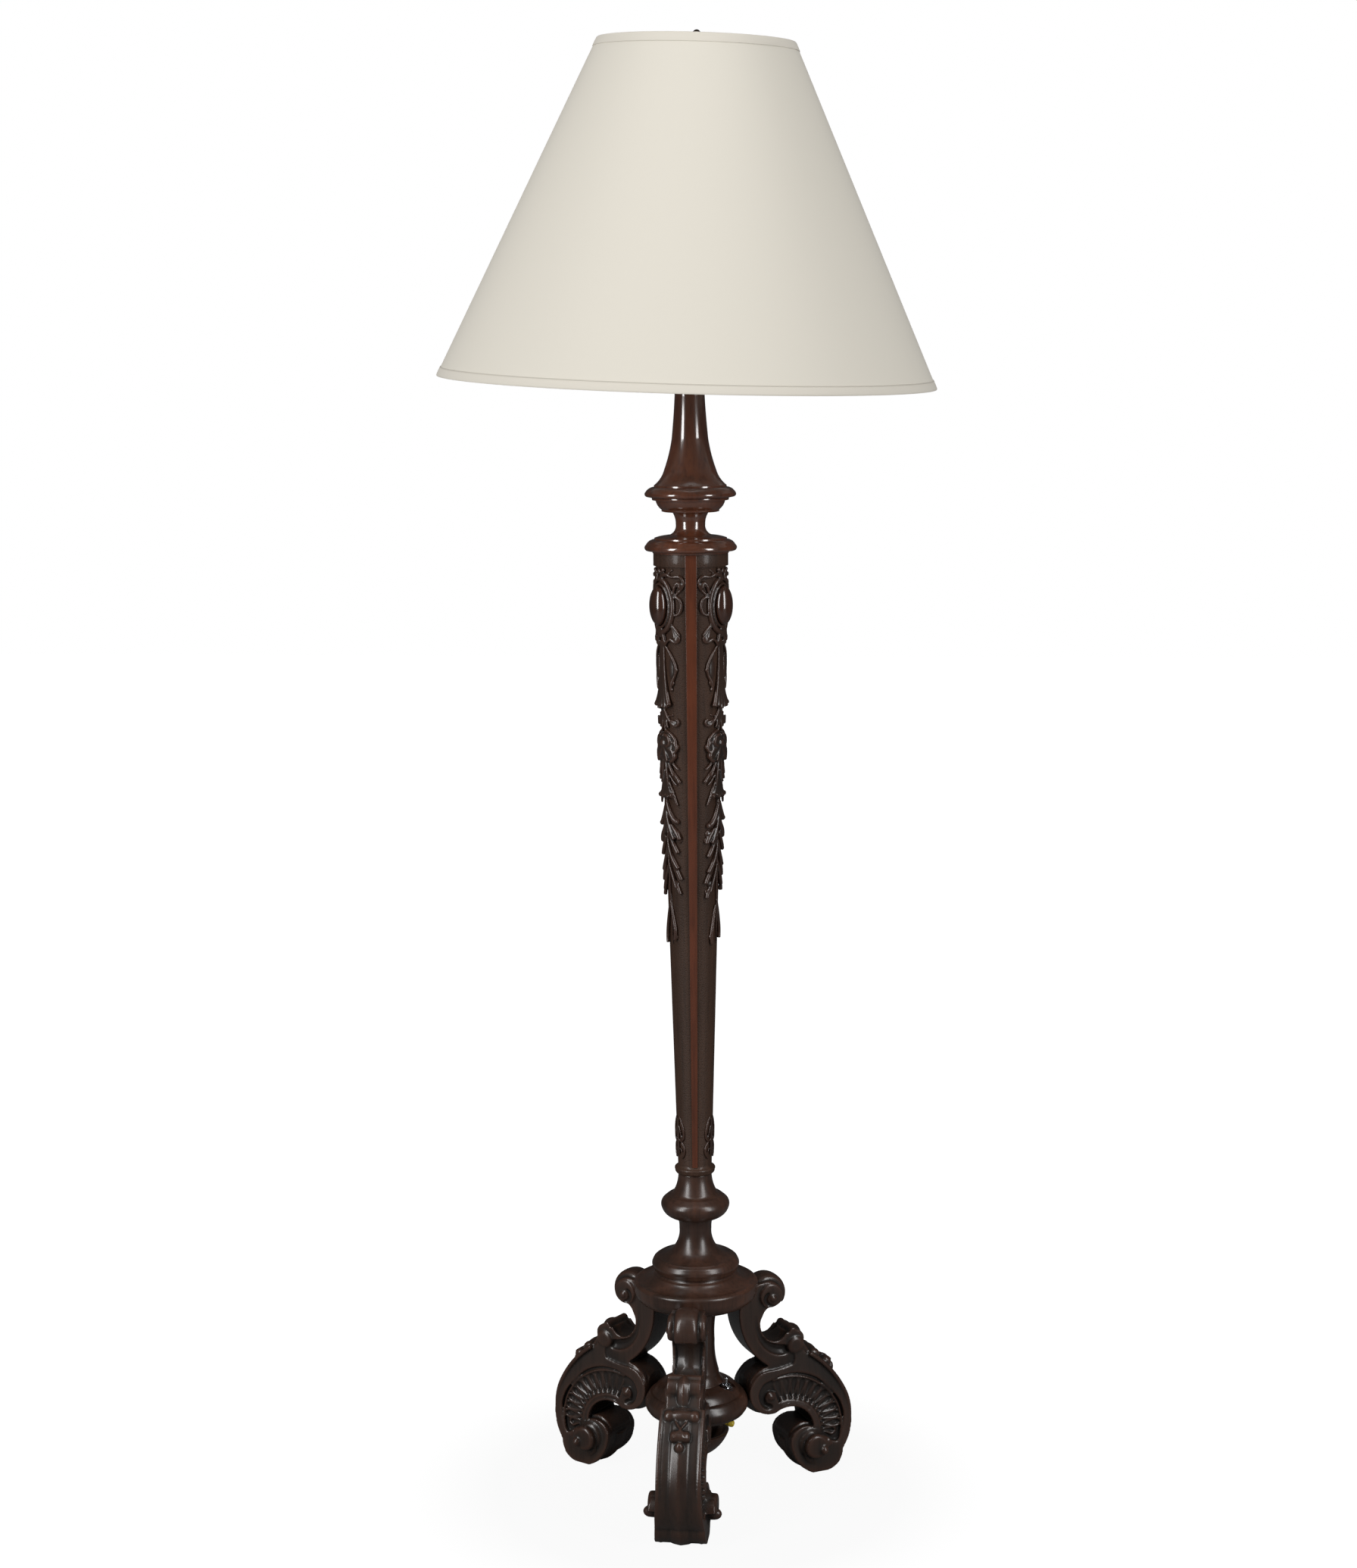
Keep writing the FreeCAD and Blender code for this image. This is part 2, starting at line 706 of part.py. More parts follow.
def leg(name, turn):
    """One carved scroll leg, housed under the cap's rim and against the lower disc."""
    body = new_body("leg_" + name)
    whole = from_shares(S.leg_reach, S.leg_height, LEG_SHARES)
    lower = from_shares(S.leg_reach, S.leg_height, SCROLL_TOP_SHARES + LEG_SHARES[OUTER_EDGE:])
    pad(body, "strap_" + name, draw(body, "strap_outline_" + name, "XZ_Plane", whole), S.strap_width, True)
    pad(body, "scroll_" + name, draw(body, "scroll_outline_" + name, "XZ_Plane", lower), S.scroll_width, True)
    for side in (1.0, -1.0):
        sink(body, "cove", COVE_SHARES, S.strap_width, S.cove_depth, side)
        sink(body, "fan", FAN_SHARES, S.scroll_width, S.fan_depth, side)
        fan_ribs(body, side)
    strip = from_shares(S.leg_reach, S.leg_height, MOULDING_SHARES)
    for side in (1.0, -1.0):
        sketch = draw(body, "moulding_outline", "XZ_Plane", strip)
        bind(sketch, "AttachmentOffset.Base.z", S.moulding_place * side)
        pad(body, "moulding_cut", sketch, S.moulding_width, True, "PartDesign::Pocket")
    roll(body, "volute_eye", VOLUTE_EYE_SHARE, S.button_radius * EYE_SHARE, S.scroll_width)
    roll(body, "head_roll", HEAD_ROLL_SHARE, S.head_roll_radius, S.head_roll_width)
    roll(body, "head_button", HEAD_ROLL_SHARE, S.button_radius * EYE_SHARE, S.head_roll_width + S.button_stand)
    roll(body, "knee_roll", KNEE_ROLL_SHARE, S.knee_roll_radius * KNEE_END_SHARE, S.knee_roll_width)
    roll(body, "knee_bead", KNEE_ROLL_SHARE, S.knee_roll_radius, S.knee_roll_width * KNEE_BEAD_SHARE)
    for share in LEAF_SHARES:
        roll(body, "leaf", share, S.leaf_radius, S.leaf_width)
    roll(body, "foot_roll", FOOT_ROLL_SHARE, S.foot_roll_radius, S.foot_roll_width)
    roll(body, "foot_button", FOOT_ROLL_SHARE, S.button_radius, S.foot_roll_width + S.button_stand * 2.0)
    house_leg(body)
    body.Placement = FreeCAD.Placement(FreeCAD.Vector(), about_post(turn))


def house_leg(body):
    """Cut the cap's and the disc's seats, the dowel's hole and the screw's hole."""
    curve = from_shares(S.cap_radius, S.cap_height, CAP_SHARES[:2])
    (start, _), (side, rise, via, via_rise) = curve
    gap = S.free_gap
    top = CAP_BOTTOM + S.cap_height
    cap = [(0, CAP_BOTTOM), (start + gap, CAP_BOTTOM)]
    cap += [(side + gap, CAP_BOTTOM + rise, via + gap, CAP_BOTTOM + via_rise)]
    cap += [(S.cap_radius + gap, top), (0, top)]
    outline = draw(body, "cap_seat_outline", "XZ_Plane", cap)
    revolve(body, "cap_seat", outline, kind="PartDesign::Groove")
    disc_top = S.disc_bottom + S.disc_height
    rim = S.disc_radius + S.free_gap
    disc = [(0, 0), (rim, 0), (rim, disc_top), (0, disc_top)]
    revolve(body, "disc_seat", draw(body, "disc_seat_outline", "XZ_Plane", disc), kind="PartDesign::Groove")
    dowel = circle(body, "dowel_hole_outline", "XY_Plane", (S.dowel_place, 0), S.dowel_radius + S.fit_gap)
    bind(dowel, "AttachmentOffset.Base.z", CAP_BOTTOM + S.overrun)
    pad(body, "dowel_hole", dowel, S.dowel_length / 2.0 + S.overrun, kind="PartDesign::Pocket")
    screw = circle(body, "screw_hole_outline", "YZ_Plane", (0, S.screw_height), S.screw_radius + S.fit_gap)
    bind(screw, "AttachmentOffset.Base.z", S.disc_radius - S.disc_wall + S.screw_length + S.fit_gap)
    pad(body, "screw_hole", screw, S.screw_length + S.overrun, kind="PartDesign::Pocket")


def round_group(name, parts):
    """One node of separate equal solids, one for each leg."""
    group = doc.addObject("Part::Compound", name)
    group.Links = parts
    group.Label = name
    return group


def leg_dowels():
    """A wooden dowel from each leg's head up into the cap."""
    parts = []
    for index in range(LEG_COUNT):
        dowel = doc.addObject("Part::Cylinder", "dowel")
        bind(dowel, "Radius", S.dowel_radius)
        bind(dowel, "Height", S.dowel_length)
        turn_about_post(dowel, S.dowel_place, CAP_BOTTOM - S.dowel_length / 2.0, index)
        parts.append(dowel)
    round_group("leg_dowels", parts)


def turn_about_post(item, out, height, index, tilt=0.0):
    """Put a solid at a leg's direction, a set way out from the post's axis."""
    angle = FRONT_DIRECTION + 360.0 / LEG_COUNT * index
    tipped = FreeCAD.Rotation(FreeCAD.Vector(0, 1, 0), tilt)
    item.Placement = FreeCAD.Placement(FreeCAD.Vector(), about_post(angle) * tipped)
    place(item, out * math.cos(math.radians(angle)), out * math.sin(math.radians(angle)), height)


def leg_screws():
    """A wood screw through the disc's wall into each leg's inner scroll."""
    parts = []
    for index in range(LEG_COUNT):
        shank = doc.addObject("Part::Cylinder", "screw_shank")
        bind(shank, "Radius", S.screw_radius)
        bind(shank, "Height", S.screw_length)
        head = doc.addObject("Part::Cone", "screw_head")
        bind(head, "Radius1", S.screw_head_radius)
        bind(head, "Radius2", S.screw_radius)
        bind(head, "Height", S.screw_head_radius - S.screw_radius)
        screw = doc.addObject("Part::Fuse", "screw")
        screw.Base = shank
        screw.Tool = head
        turn_about_post(screw, S.disc_radius - S.disc_wall - S.fit_gap, S.screw_height, index, 90.0)
        parts.append(screw)
    round_group("leg_screws", parts)


# Pipe and its hardware

def lamp_pipe():
    """The pipe that clamps the post together, with a slot where the wire leaves it."""
    body = new_body("lamp_pipe")
    ring = circle(body, "pipe_outline", "XY_Plane", (0, 0), S.pipe_radius, S.pipe_bore)
    pad(body, "pipe_wall", ring, SOCKET_BOTTOM - S.socket_gap - S.pipe_bottom)
    low = S.slot_bottom - S.pipe_bottom
    high = low + S.slot_height
    half = S.pipe_bore * 0.8
    window = [(-half, low), (half, low), (half, high), (-half, high)]
    slot = draw(body, "slot_outline", "YZ_Plane", window)
    pad(body, "slot", slot, S.pipe_radius + S.overrun, kind="PartDesign::Pocket").Reversed = True
    place(body, z=S.pipe_bottom)


def ring_solid(name, radius, bore, height, bottom):
    """A washer or a short tube on the pipe."""
    outer = doc.addObject("Part::Cylinder", name + "_outer")
    bind(outer, "Radius", radius)
    bind(outer, "Height", height)
    inner = doc.addObject("Part::Cylinder", name + "_bore")
    bind(inner, "Radius", bore)
    bind(inner, "Height", height)
    cut = doc.addObject("Part::Cut", name + "_solid")
    cut.Base = outer
    cut.Tool = inner
    place(cut, z=bottom)
    return cut


def hex_nut(name, bottom):
    """A hexagon nut on the pipe."""
    prism = doc.addObject("Part::Prism", name + "_hexagon")
    prism.Polygon = 6
    bind(prism, "Circumradius", S.nut_flat / math.cos(math.radians(30.0)))
    bind(prism, "Height", S.nut_height)
    inner = doc.addObject("Part::Cylinder", name + "_bore")
    bind(inner, "Radius", S.pipe_radius + S.fit_gap)
    bind(inner, "Height", S.nut_height)
    cut = doc.addObject("Part::Cut", name + "_solid")
    cut.Base = prism
    cut.Tool = inner
    place(cut, z=bottom)
    return cut


CHECK_SHARES = [(0.94, 0.0), (1.0, 0.45, 0.985, 0.14), (0.90, 1.0, 0.98, 0.82)]


def pipe_hardware():
    """Washers and nuts that clamp the disc, the cup and the saddle, and the brass check ring."""
    ceiling = S.disc_bottom + S.disc_height * DISC_HOLLOW_SHARE - S.disc_web
    under_disc = ceiling - S.washer_height
    in_cup = S.cup_bottom + S.cup_floor
    under_cup = S.cup_bottom - S.washer_height
    washer_bore = S.pipe_radius + S.fit_gap
    washers = [
        ring_solid("disc_washer", S.washer_radius, washer_bore, S.washer_height, under_disc),
        ring_solid("cup_washer", S.washer_radius, washer_bore, S.washer_height, under_cup),
    ]
    nuts = [
        hex_nut("disc_nut", under_disc - S.nut_height),
        hex_nut("cup_inner_nut", in_cup),
        hex_nut("cup_nut", under_cup - S.nut_height),
        hex_nut("saddle_nut", TOP_NUT_BOTTOM),
    ]
    round_group("pipe_washers", washers)
    round_group("pipe_nuts", nuts)
    path = bored(S.check_radius, S.check_height, washer_bore, CHECK_SHARES)
    turned("check_ring", CHECK_BOTTOM, path)


# Socket and bulb

def socket():
    """A keyless brass socket: cap, shell, liner, core, screw shell and centre contact."""
    cap_top = S.socket_cap_height
    wall = S.socket_wall
    rim = S.socket_radius
    neck = S.pipe_radius * 1.7
    cap = [
        (WOOD_BORE, 0),
        (neck, 0),
        (rim, cap_top * 0.75, rim * 0.86, cap_top * 0.32),
        (rim, cap_top),
        (rim - wall, cap_top),
        (rim - wall, cap_top * 0.78),
        (neck, wall * 2.0, rim * 0.80, cap_top * 0.36),
        (WOOD_BORE, wall * 2.0),
    ]
    turned("socket_cap", SOCKET_BOTTOM, cap)
    shell_bottom = SOCKET_BOTTOM + cap_top
    bore = rim - wall
    shell = [(bore, 0), (rim, 0), (rim, S.socket_shell_height), (bore, S.socket_shell_height)]
    turned("socket_shell", shell_bottom, shell)
    liner_out = bore - S.fit_gap
    liner_in = liner_out - S.liner_wall
    liner_top = S.socket_shell_height - wall
    liner = [(liner_in, 0), (liner_out, 0), (liner_out, liner_top), (liner_in, liner_top)]
    turned("socket_liner", shell_bottom, liner)
    core_out = liner_in - S.fit_gap
    core = [
        (0, 0),
        (core_out, 0),
        (core_out, S.core_height),
        (S.contact_radius + S.fit_gap, S.core_height),
        (S.contact_radius + S.fit_gap, S.core_height * 0.8),
        (0, S.core_height * 0.8),
    ]
    turned("socket_core", shell_bottom, core)
    dome = S.core_height * 0.3
    crown = S.contact_radius * 0.2
    contact = [
        (0, 0),
        (S.contact_radius, 0),
        (S.contact_radius, wall),
        (crown, dome, S.contact_radius * 0.66, dome * 0.85),
        (0, dome),
    ]
    turned("socket_contact", shell_bottom + S.core_height * 0.8, contact)
    sleeve = S.screw_shell_bore
    outside = sleeve + wall
    shell = [(sleeve, 0), (outside, 0), (outside, S.screw_shell_height), (sleeve, S.screw_shell_height)]
    turned("screw_shell", shell_bottom + S.core_height, shell)
    terminals = []
    for index, side in enumerate((1.0, -1.0)):
        screw = doc.addObject("Part::Cylinder", "terminal")
        bind(screw, "Radius", S.terminal_radius)
        bind(screw, "Height", S.terminal_length)
        place(screw, core_out * (0.62 * side), 0, shell_bottom - S.terminal_length)
        terminals.append(screw)
    round_group("terminal_screws", terminals)


BULB_SHARES = [
    (0.372, 0.05),
    (0.50, 0.27, 0.385, 0.17),
    (0.98, 0.58, 0.82, 0.41),
    (0.90, 0.80, 1.0, 0.70),
    (0.06, 1.0, 0.56, 0.965),
    (0.0, 1.0),
]


def bulb():
    """A pear-shaped bulb with its screw cap and its inner stem."""
    bottom = SOCKET_BOTTOM + S.socket_cap_height + S.core_height + S.running_gap * 2.0
    cap = [
        (0, 0),
        (S.contact_radius, 0),
        (S.bulb_cap_radius, S.bulb_cap_height * 0.25),
        (S.bulb_cap_radius, S.bulb_cap_height),
        (0, S.bulb_cap_height),
    ]
    turned("bulb_cap", bottom + S.core_height * 0.12, cap)
    glass_bottom = bottom + S.core_height * 0.12 + S.bulb_cap_height
    outer = from_shares(S.bulb_radius, S.bulb_height, BULB_SHARES)
    slim = S.bulb_radius - S.glass_wall
    tall = S.bulb_height - S.glass_wall
    inner = [
        (slim * 0.06, tall),
        (slim * 0.90, tall * 0.80, slim * 0.56, tall * 0.965),
        (slim * 0.98, tall * 0.58, slim * 1.0, tall * 0.70),
        (slim * 0.50, tall * 0.27, slim * 0.82, tall * 0.41),
        (slim * 0.345, tall * 0.05, slim * 0.385, tall * 0.17),
        (slim * 0.345, 0),
    ]
    path = [(S.bulb_radius * 0.372, 0)] + outer + [(0, tall)] + inner
    turned("bulb_glass", glass_bottom, path)
    stem = [
        (0, 0),
        (S.stem_radius * 1.6, 0),
        (S.stem_radius, S.stem_height * 0.4, S.stem_radius * 1.15, S.stem_height * 0.15),
        (S.stem_radius * 0.8, S.stem_height),
        (0, S.stem_height),
    ]
    turned("bulb_stem", glass_bottom, stem)


# Saddle, harp and sleeves

def saddle():
    """The steel strip under the socket, with an upturned tab for each foot of the harp."""
    body = new_body("harp_saddle")
    span, thick = S.saddle_span, S.saddle_height
    half = thick / 2.0
    path = [
        (span, -half),
        (span, S.saddle_tab),
        (span - thick, S.saddle_tab),
        (span - thick, half),
        (thick - span, half),
        (thick - span, S.saddle_tab),
        (-span, S.saddle_tab),
        (-span, -half),
    ]
    pad(body, "strip", draw(body, "strip_outline", "XZ_Plane", path), S.saddle_width, True)
    hole = circle(body, "saddle_hole_outline", "XY_Plane", (0, 0), S.pipe_radius + S.free_gap)
    pad(body, "saddle_hole", hole, S.saddle_width, True, "PartDesign::Pocket")
    for side in (1.0, -1.0):
        edge = S.tab_width * (side / 2.0)
        far = S.saddle_width * side
        low = thick * 1.5
        window = [(edge, low), (far, low), (far, S.saddle_tab * 1.2), (edge, S.saddle_tab * 1.2)]
        sketch = draw(body, "tab_side", "YZ_Plane", window)
        pad(body, "tab_cut", sketch, S.saddle_span * 2.0 + S.overrun, True, "PartDesign::Pocket")
    lean(body)


def harp():
    """The bent steel loop that carries the shade, with its threaded stud."""
    body = new_body("harp")
    foot, belly, high, wire = HARP_FOOT, S.harp_belly, S.harp_height, S.harp_wire
    low = S.saddle_height * 2.0
    crown = high - wire
    route = [
        (foot, low),
        (foot, high * 0.17),
        (belly, high * 0.42, foot * 1.10, high * 0.29),
        (foot * 0.80, high * 0.80, belly * 0.99, high * 0.62),
        (foot * 0.30, crown, foot * 0.62, high * 0.935),
        (-(foot * 0.30), crown),
        (-(foot * 0.80), high * 0.80, -(foot * 0.62), high * 0.935),
        (-belly, high * 0.42, -(belly * 0.99), high * 0.62),
        (-foot, high * 0.17, -(foot * 1.10), high * 0.29),
        (-foot, low),
    ]
    spine = draw(body, "harp_route", "XZ_Plane", route, closed=False)
    section = circle(body, "harp_section", "XY_Plane", (foot, 0), wire)
    bind(section, "AttachmentOffset.Base.z", low)
    loop = body.newObject("PartDesign::AdditivePipe", "harp_loop")
    loop.Profile = section
    loop.Spine = spine
    plate = circle(body, "harp_plate_outline", "XY_Plane", (0, 0), S.harp_plate)
    bind(plate, "AttachmentOffset.Base.z", high - wire * 2.0)
    pad(body, "harp_plate", plate, wire * 2.0)
    stud = circle(body, "stud_outline", "XY_Plane", (0, 0), S.stud_radius)
    bind(stud, "AttachmentOffset.Base.z", high - wire)
    pad(body, "stud", stud, S.stud_height)
    lean(body)


def harp_sleeves():
    """The two brass sleeves that lock the harp's feet to the saddle's tabs."""
    for name, side in (("right", 1.0), ("left", -1.0)):
        body = new_body("harp_sleeve_" + name)
        centre = ((HARP_FOOT - S.harp_wire * 0.65) * side, 0)
        outer = S.sleeve_bore + S.sleeve_wall
        ring = circle(body, "sleeve_outline", "XY_Plane", centre, outer, S.sleeve_bore)
        bind(ring, "AttachmentOffset.Base.z", S.saddle_height * 1.5 + S.free_gap)
        pad(body, "sleeve", ring, S.sleeve_height)
        lean(body)


# Shade, its frame and its finial

SHADE_BOTTOM = -S.shade_drop
SHADE_TOP = S.shade_height - S.shade_drop
SHADE_SLOPE = (SIZES["shade_bottom_radius"] - SIZES["shade_top_radius"]) / SIZES["shade_height"]


def shade_band(name, bottom, top, stand, wall):
    """A thin ring of the shade's cone between two heights, standing off its outside."""
    body = new_body(name)
    low = S.shade_bottom_radius - (bottom - SHADE_BOTTOM) * SHADE_SLOPE + stand
    high = S.shade_bottom_radius - (top - SHADE_BOTTOM) * SHADE_SLOPE + stand
    path = [(low - wall, bottom), (low, bottom), (high, top), (high - wall, top)]
    revolve(body, name + "_turning", draw(body, name + "_outline", "XZ_Plane", path))
    lean(body)


def shade():
    """The fabric cone with its folded trims and its two wire rings."""
    shade_band("shade_skin", SHADE_BOTTOM, SHADE_TOP, as_size(0), S.shade_wall)
    stand = S.trim_wall + S.fit_gap
    shade_band("shade_trim_bottom", SHADE_BOTTOM, SHADE_BOTTOM + S.trim_height, stand, S.trim_wall)
    shade_band("shade_trim_top", SHADE_TOP - S.trim_height, SHADE_TOP, stand, S.trim_wall)
    inset = S.shade_wall + S.ring_wire * 1.12 + S.fit_gap * 2.0
    rise = S.ring_wire * 1.3
    wire_ring("shade_ring_bottom", S.shade_bottom_radius - inset - rise * SHADE_SLOPE, SHADE_BOTTOM + rise)
    wire_ring("shade_ring_top", S.shade_top_radius - inset + rise * SHADE_SLOPE, SHADE_TOP - rise)


def wire_ring(name, radius, height):
    """A round wire ring."""
    body = new_body(name)
    section = circle(body, name + "_section", "XZ_Plane", (radius, height), S.ring_wire)
    revolve(body, name + "_turning", section)
    lean(body)


def shade_spider():
    """The washer that sits on the harp, with three bent arms out to the top ring."""
    body = new_body("shade_spider")
    bottom = S.harp_height + S.seat_gap
    hub = circle(body, "hub_outline", "XY_Plane", (0, 0), S.hub_radius, S.stud_radius + S.running_gap)
    bind(hub, "AttachmentOffset.Base.z", bottom)
    pad(body, "hub", hub, S.hub_height)
    level = bottom + S.spider_wire
    ring_height = SHADE_TOP - S.ring_wire * 1.3
    inset = S.shade_wall + S.ring_wire * 2.12 + S.fit_gap * 2.0 - S.ring_wire * 1.3 * SHADE_SLOPE
    ring_radius = S.shade_top_radius - inset - S.spider_wire
    bend = ring_radius - S.hub_radius * 0.8
    route = [
        (S.hub_radius * 0.7, level),
        (bend, level),
        (ring_radius, level + S.hub_radius * 0.6, ring_radius - S.hub_radius * 0.22, level + S.hub_radius * 0.14),
        (ring_radius, ring_height),
    ]
    spine = draw(body, "arm_route", "XZ_Plane", route, closed=False)
    section = circle(body, "arm_section", "YZ_Plane", (0, level), S.spider_wire)
    bind(section, "AttachmentOffset.Base.z", S.hub_radius * 0.7)
    arm = body.newObject("PartDesign::AdditivePipe", "arm")
    arm.Profile = section
    arm.Spine = spine
    repeat_round(body, "arms", [arm], LEG_COUNT)
    lean(body)


FINIAL_SHARES = [
    (0.80, 0.0),
    (0.95, 0.10, 0.93, 0.03),
    (0.55, 0.22, 0.80, 0.19),
    (0.45, 0.32, 0.46, 0.27),
    (0.98, 0.56, 0.80, 0.40),
    (0.55, 0.84, 0.86, 0.74),
    (0.08, 1.0, 0.42, 0.955),
    (0.0, 1.0),
]


def finial():
    """The turned knob that screws down on the harp's stud and clamps the spider."""
    body = new_body("finial")
    bottom = S.harp_height + S.seat_gap * 2.0 + S.hub_height
    bore = S.stud_radius + S.running_gap
    depth = S.stud_height
    path = [(0, depth), (bore, depth), (bore, 0)] + from_shares(S.finial_radius, S.finial_height, FINIAL_SHARES)
    lifted = [tuple(size + bottom if place_in_step % 2 else size for place_in_step, size in enumerate(step))
              for step in [tuple(as_size(size) for size in step) for step in path]]
    revolve(body, "finial_turning", draw(body, "finial_outline", "XZ_Plane", lifted))
    lean(body)


# Toggle switch

def toggle_switch():
    """The toggle switch: body under the disc's web, threaded bushing, dress nut and lever."""
    x, y = S.switch_out, S.switch_front
    web_bottom = S.disc_bottom + S.disc_height * DISC_HOLLOW_SHARE - S.disc_web
    case = doc.addObject("Part::Box", "switch_body")
    case.Label = "switch_body"
    bind(case, "Length", S.switch_body_width)
    bind(case, "Width", S.switch_body_width)
    bind(case, "Height", S.switch_body_height)
    half = S.switch_body_width / 2.0
    place(case, x - half, y - half, web_bottom - S.switch_body_height)
    height = S.bushing_height
    ball = S.lever_ball + S.running_gap
    pivot = height * 0.45
    bushing = [
        (ball, 0),
        (S.bushing_radius, 0),
        (S.bushing_radius, height),
        (S.bushing_bore, height),
        (S.lever_radius * 1.6, pivot + ball * 0.78),
        (ball, pivot, ball * 0.93, pivot + ball * 0.42),
    ]
    body = new_body("switch_bushing")
    revolve(body, "bushing_turning", draw(body, "bushing_outline", "XZ_Plane", bushing))
    place(body, x, y, web_bottom)
    nut = doc.addObject("Part::Cut", "switch_nut")
    nut.Label = "switch_nut"
    prism = doc.addObject("Part::Prism", "dress_nut_hexagon")
    prism.Polygon = 6
    bind(prism, "Circumradius", S.dress_nut_radius)
    bind(prism, "Height", S.dress_nut_height)
    bore = doc.addObject("Part::Cylinder", "dress_nut_bore")
    bind(bore, "Radius", S.bushing_radius + S.fit_gap)
    bind(bore, "Height", S.dress_nut_height)
    nut.Base = prism
    nut.Tool = bore
    place(nut, x, y, SWITCH_TOP)
    lever = new_body("switch_lever")
    round_tip = S.lever_tip_radius
    tip = S.lever_length - round_tip
    for name, radius, height in (("lever_ball", S.lever_ball, as_size(0)), ("lever_tip", round_tip, tip)):
        knob = lever.newObject("PartDesign::AdditiveSphere", name)
        bind(knob, "Radius", radius)
        place(knob, z=height)
    rod = lever.newObject("PartDesign::AdditiveCone", "lever_rod")
    bind(rod, "Radius1", S.lever_radius)
    bind(rod, "Radius2", round_tip)
    bind(rod, "Height", tip)
    tilt = FreeCAD.Rotation(FreeCAD.Vector(-1, 0, 0), SIZES["lever_tilt"])
    lever.Placement = FreeCAD.Placement(FreeCAD.Vector(), tilt)
    bind(lever, "Placement.Rotation.Angle", S.lever_tilt)
    place(lever, x, y, web_bottom + pivot)


# Wiring

def tube_along(name, role, route, radius, section_role, centre, start):
    """A round wire along a route of straight and round stretches."""
    body = new_body(name)
    spine = draw(body, name + "_route", role, route, closed=False)
    section = circle(body, name + "_section", section_role, centre, radius)
    bind(section, "AttachmentOffset.Base.z", start)
    run = body.newObject("PartDesign::AdditivePipe", name + "_run")
    run.Profile = section
    run.Spine = spine
    return body


def wiring():
    """The wire in the pipe, the connectors, and the switch's leads."""
    level = S.slot_bottom + S.slot_height / 2.0
    bend = S.slot_height * 0.35
    near = bend * 0.29
    top = SOCKET_BOTTOM + S.socket_cap_height * 0.55
    end = S.connector_reach
    route = [(0, top), (0, level + bend), (bend, level, near, level + near), (end, level)]
    tube_along("lamp_wire", "XZ_Plane", route, S.wire_radius, "XY_Plane", (0, 0), top)
    body = new_body("wire_connector")
    wide, length = S.connector_radius, S.connector_length
    path = [
        (0, 0),
        (wide * 0.80, 0),
        (wide * 0.72, length * 0.55),
        (wide, length * 0.62, wide * 0.86, length * 0.56),
        (wide * 0.90, length * 0.93, wide * 1.0, length * 0.80),
        (wide * 0.1, length, wide * 0.55, length * 0.985),
        (0, length),
    ]
    revolve(body, "connector_turning", draw(body, "connector_outline", "XZ_Plane", path))
    body.Placement = FreeCAD.Placement(FreeCAD.Vector(), FreeCAD.Rotation(FreeCAD.Vector(0, 1, 0), 90.0))
    place(body, end + S.fit_gap, 0, level)
    leads = []
    for side in (1.0, -1.0):
        lead = doc.addObject("Part::Cylinder", "lead")
        bind(lead, "Radius", S.lead_radius)
        case_bottom = S.disc_bottom + S.disc_height * DISC_HOLLOW_SHARE - S.disc_web - S.switch_body_height
        bottom = level + S.connector_radius
        bind(lead, "Height", case_bottom - bottom)
        place(lead, S.switch_out + S.lead_radius * (1.6 * side), S.lead_radius * -1.2, bottom)
        leads.append(lead)
    round_group("switch_leads", leads)


# Build

pendant_cup()
lower_disc()
turned("centre_post", POST_BOTTOM, bored(S.post_radius, POST_HEIGHT, WOOD_BORE, POST_SHARES))
base_cap()
turned("lower_reel", REEL_BOTTOM, bored(S.reel_radius, S.reel_height, WOOD_BORE, REEL_SHARES))
turned("lower_knop", KNOP_BOTTOM, bored(S.knop_radius, S.knop_height, WOOD_BORE, KNOP_SHARES))
carved_shaft()
turned("neck_spool", SPOOL_BOTTOM, bored(S.spool_radius, S.spool_height, WOOD_BORE, SPOOL_SHARES))
turned("neck_vase", NECK_BOTTOM, bored(S.neck_radius, S.neck_height, WOOD_BORE, NECK_SHARES))
for place_in_turn, leg_name in enumerate(LEG_NAMES):
    leg(leg_name, FRONT_DIRECTION + 360.0 / LEG_COUNT * place_in_turn)
leg_dowels()
leg_screws()
lamp_pipe()
pipe_hardware()
socket()
bulb()
saddle()
harp()
harp_sleeves()
shade()
shade_spider()
finial()
toggle_switch()
wiring()
doc.recompute()


# Check and export

def sub_parts():
    """Every top object that stands for a sub-part."""
    kinds = ("PartDesign::Body", "Part::Compound", "Part::Cut", "Part::Box")
    held = {link.Name for item in doc.Objects if item.TypeId == "Part::Compound" for link in item.Links}
    return [item for item in doc.Objects if item.TypeId in kinds and item.Name not in held]


for item in doc.Objects:
    if "Invalid" in item.State or "Error" in item.State:
        raise RuntimeError("%s did not build: %s" % (item.Label, item.State))

for item in sub_parts():
    shape = item.Shape
    if not shape.isValid() or not shape.Solids:
        raise RuntimeError("%s is not a valid solid" % item.Label)
    shape.exportStep("parts/%s.step" % item.Label)
    box = shape.BoundBox
    print("%-20s %2d solids  %9.1f mm3  z %7.1f to %7.1f" % (item.Label, len(shape.Solids), shape.Volume, box.ZMin, box.ZMax))
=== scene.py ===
"""A turned and carved floor lamp with a linen shade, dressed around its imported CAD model."""
import math

import bpy
import numpy as np
from mathutils import Matrix, Vector


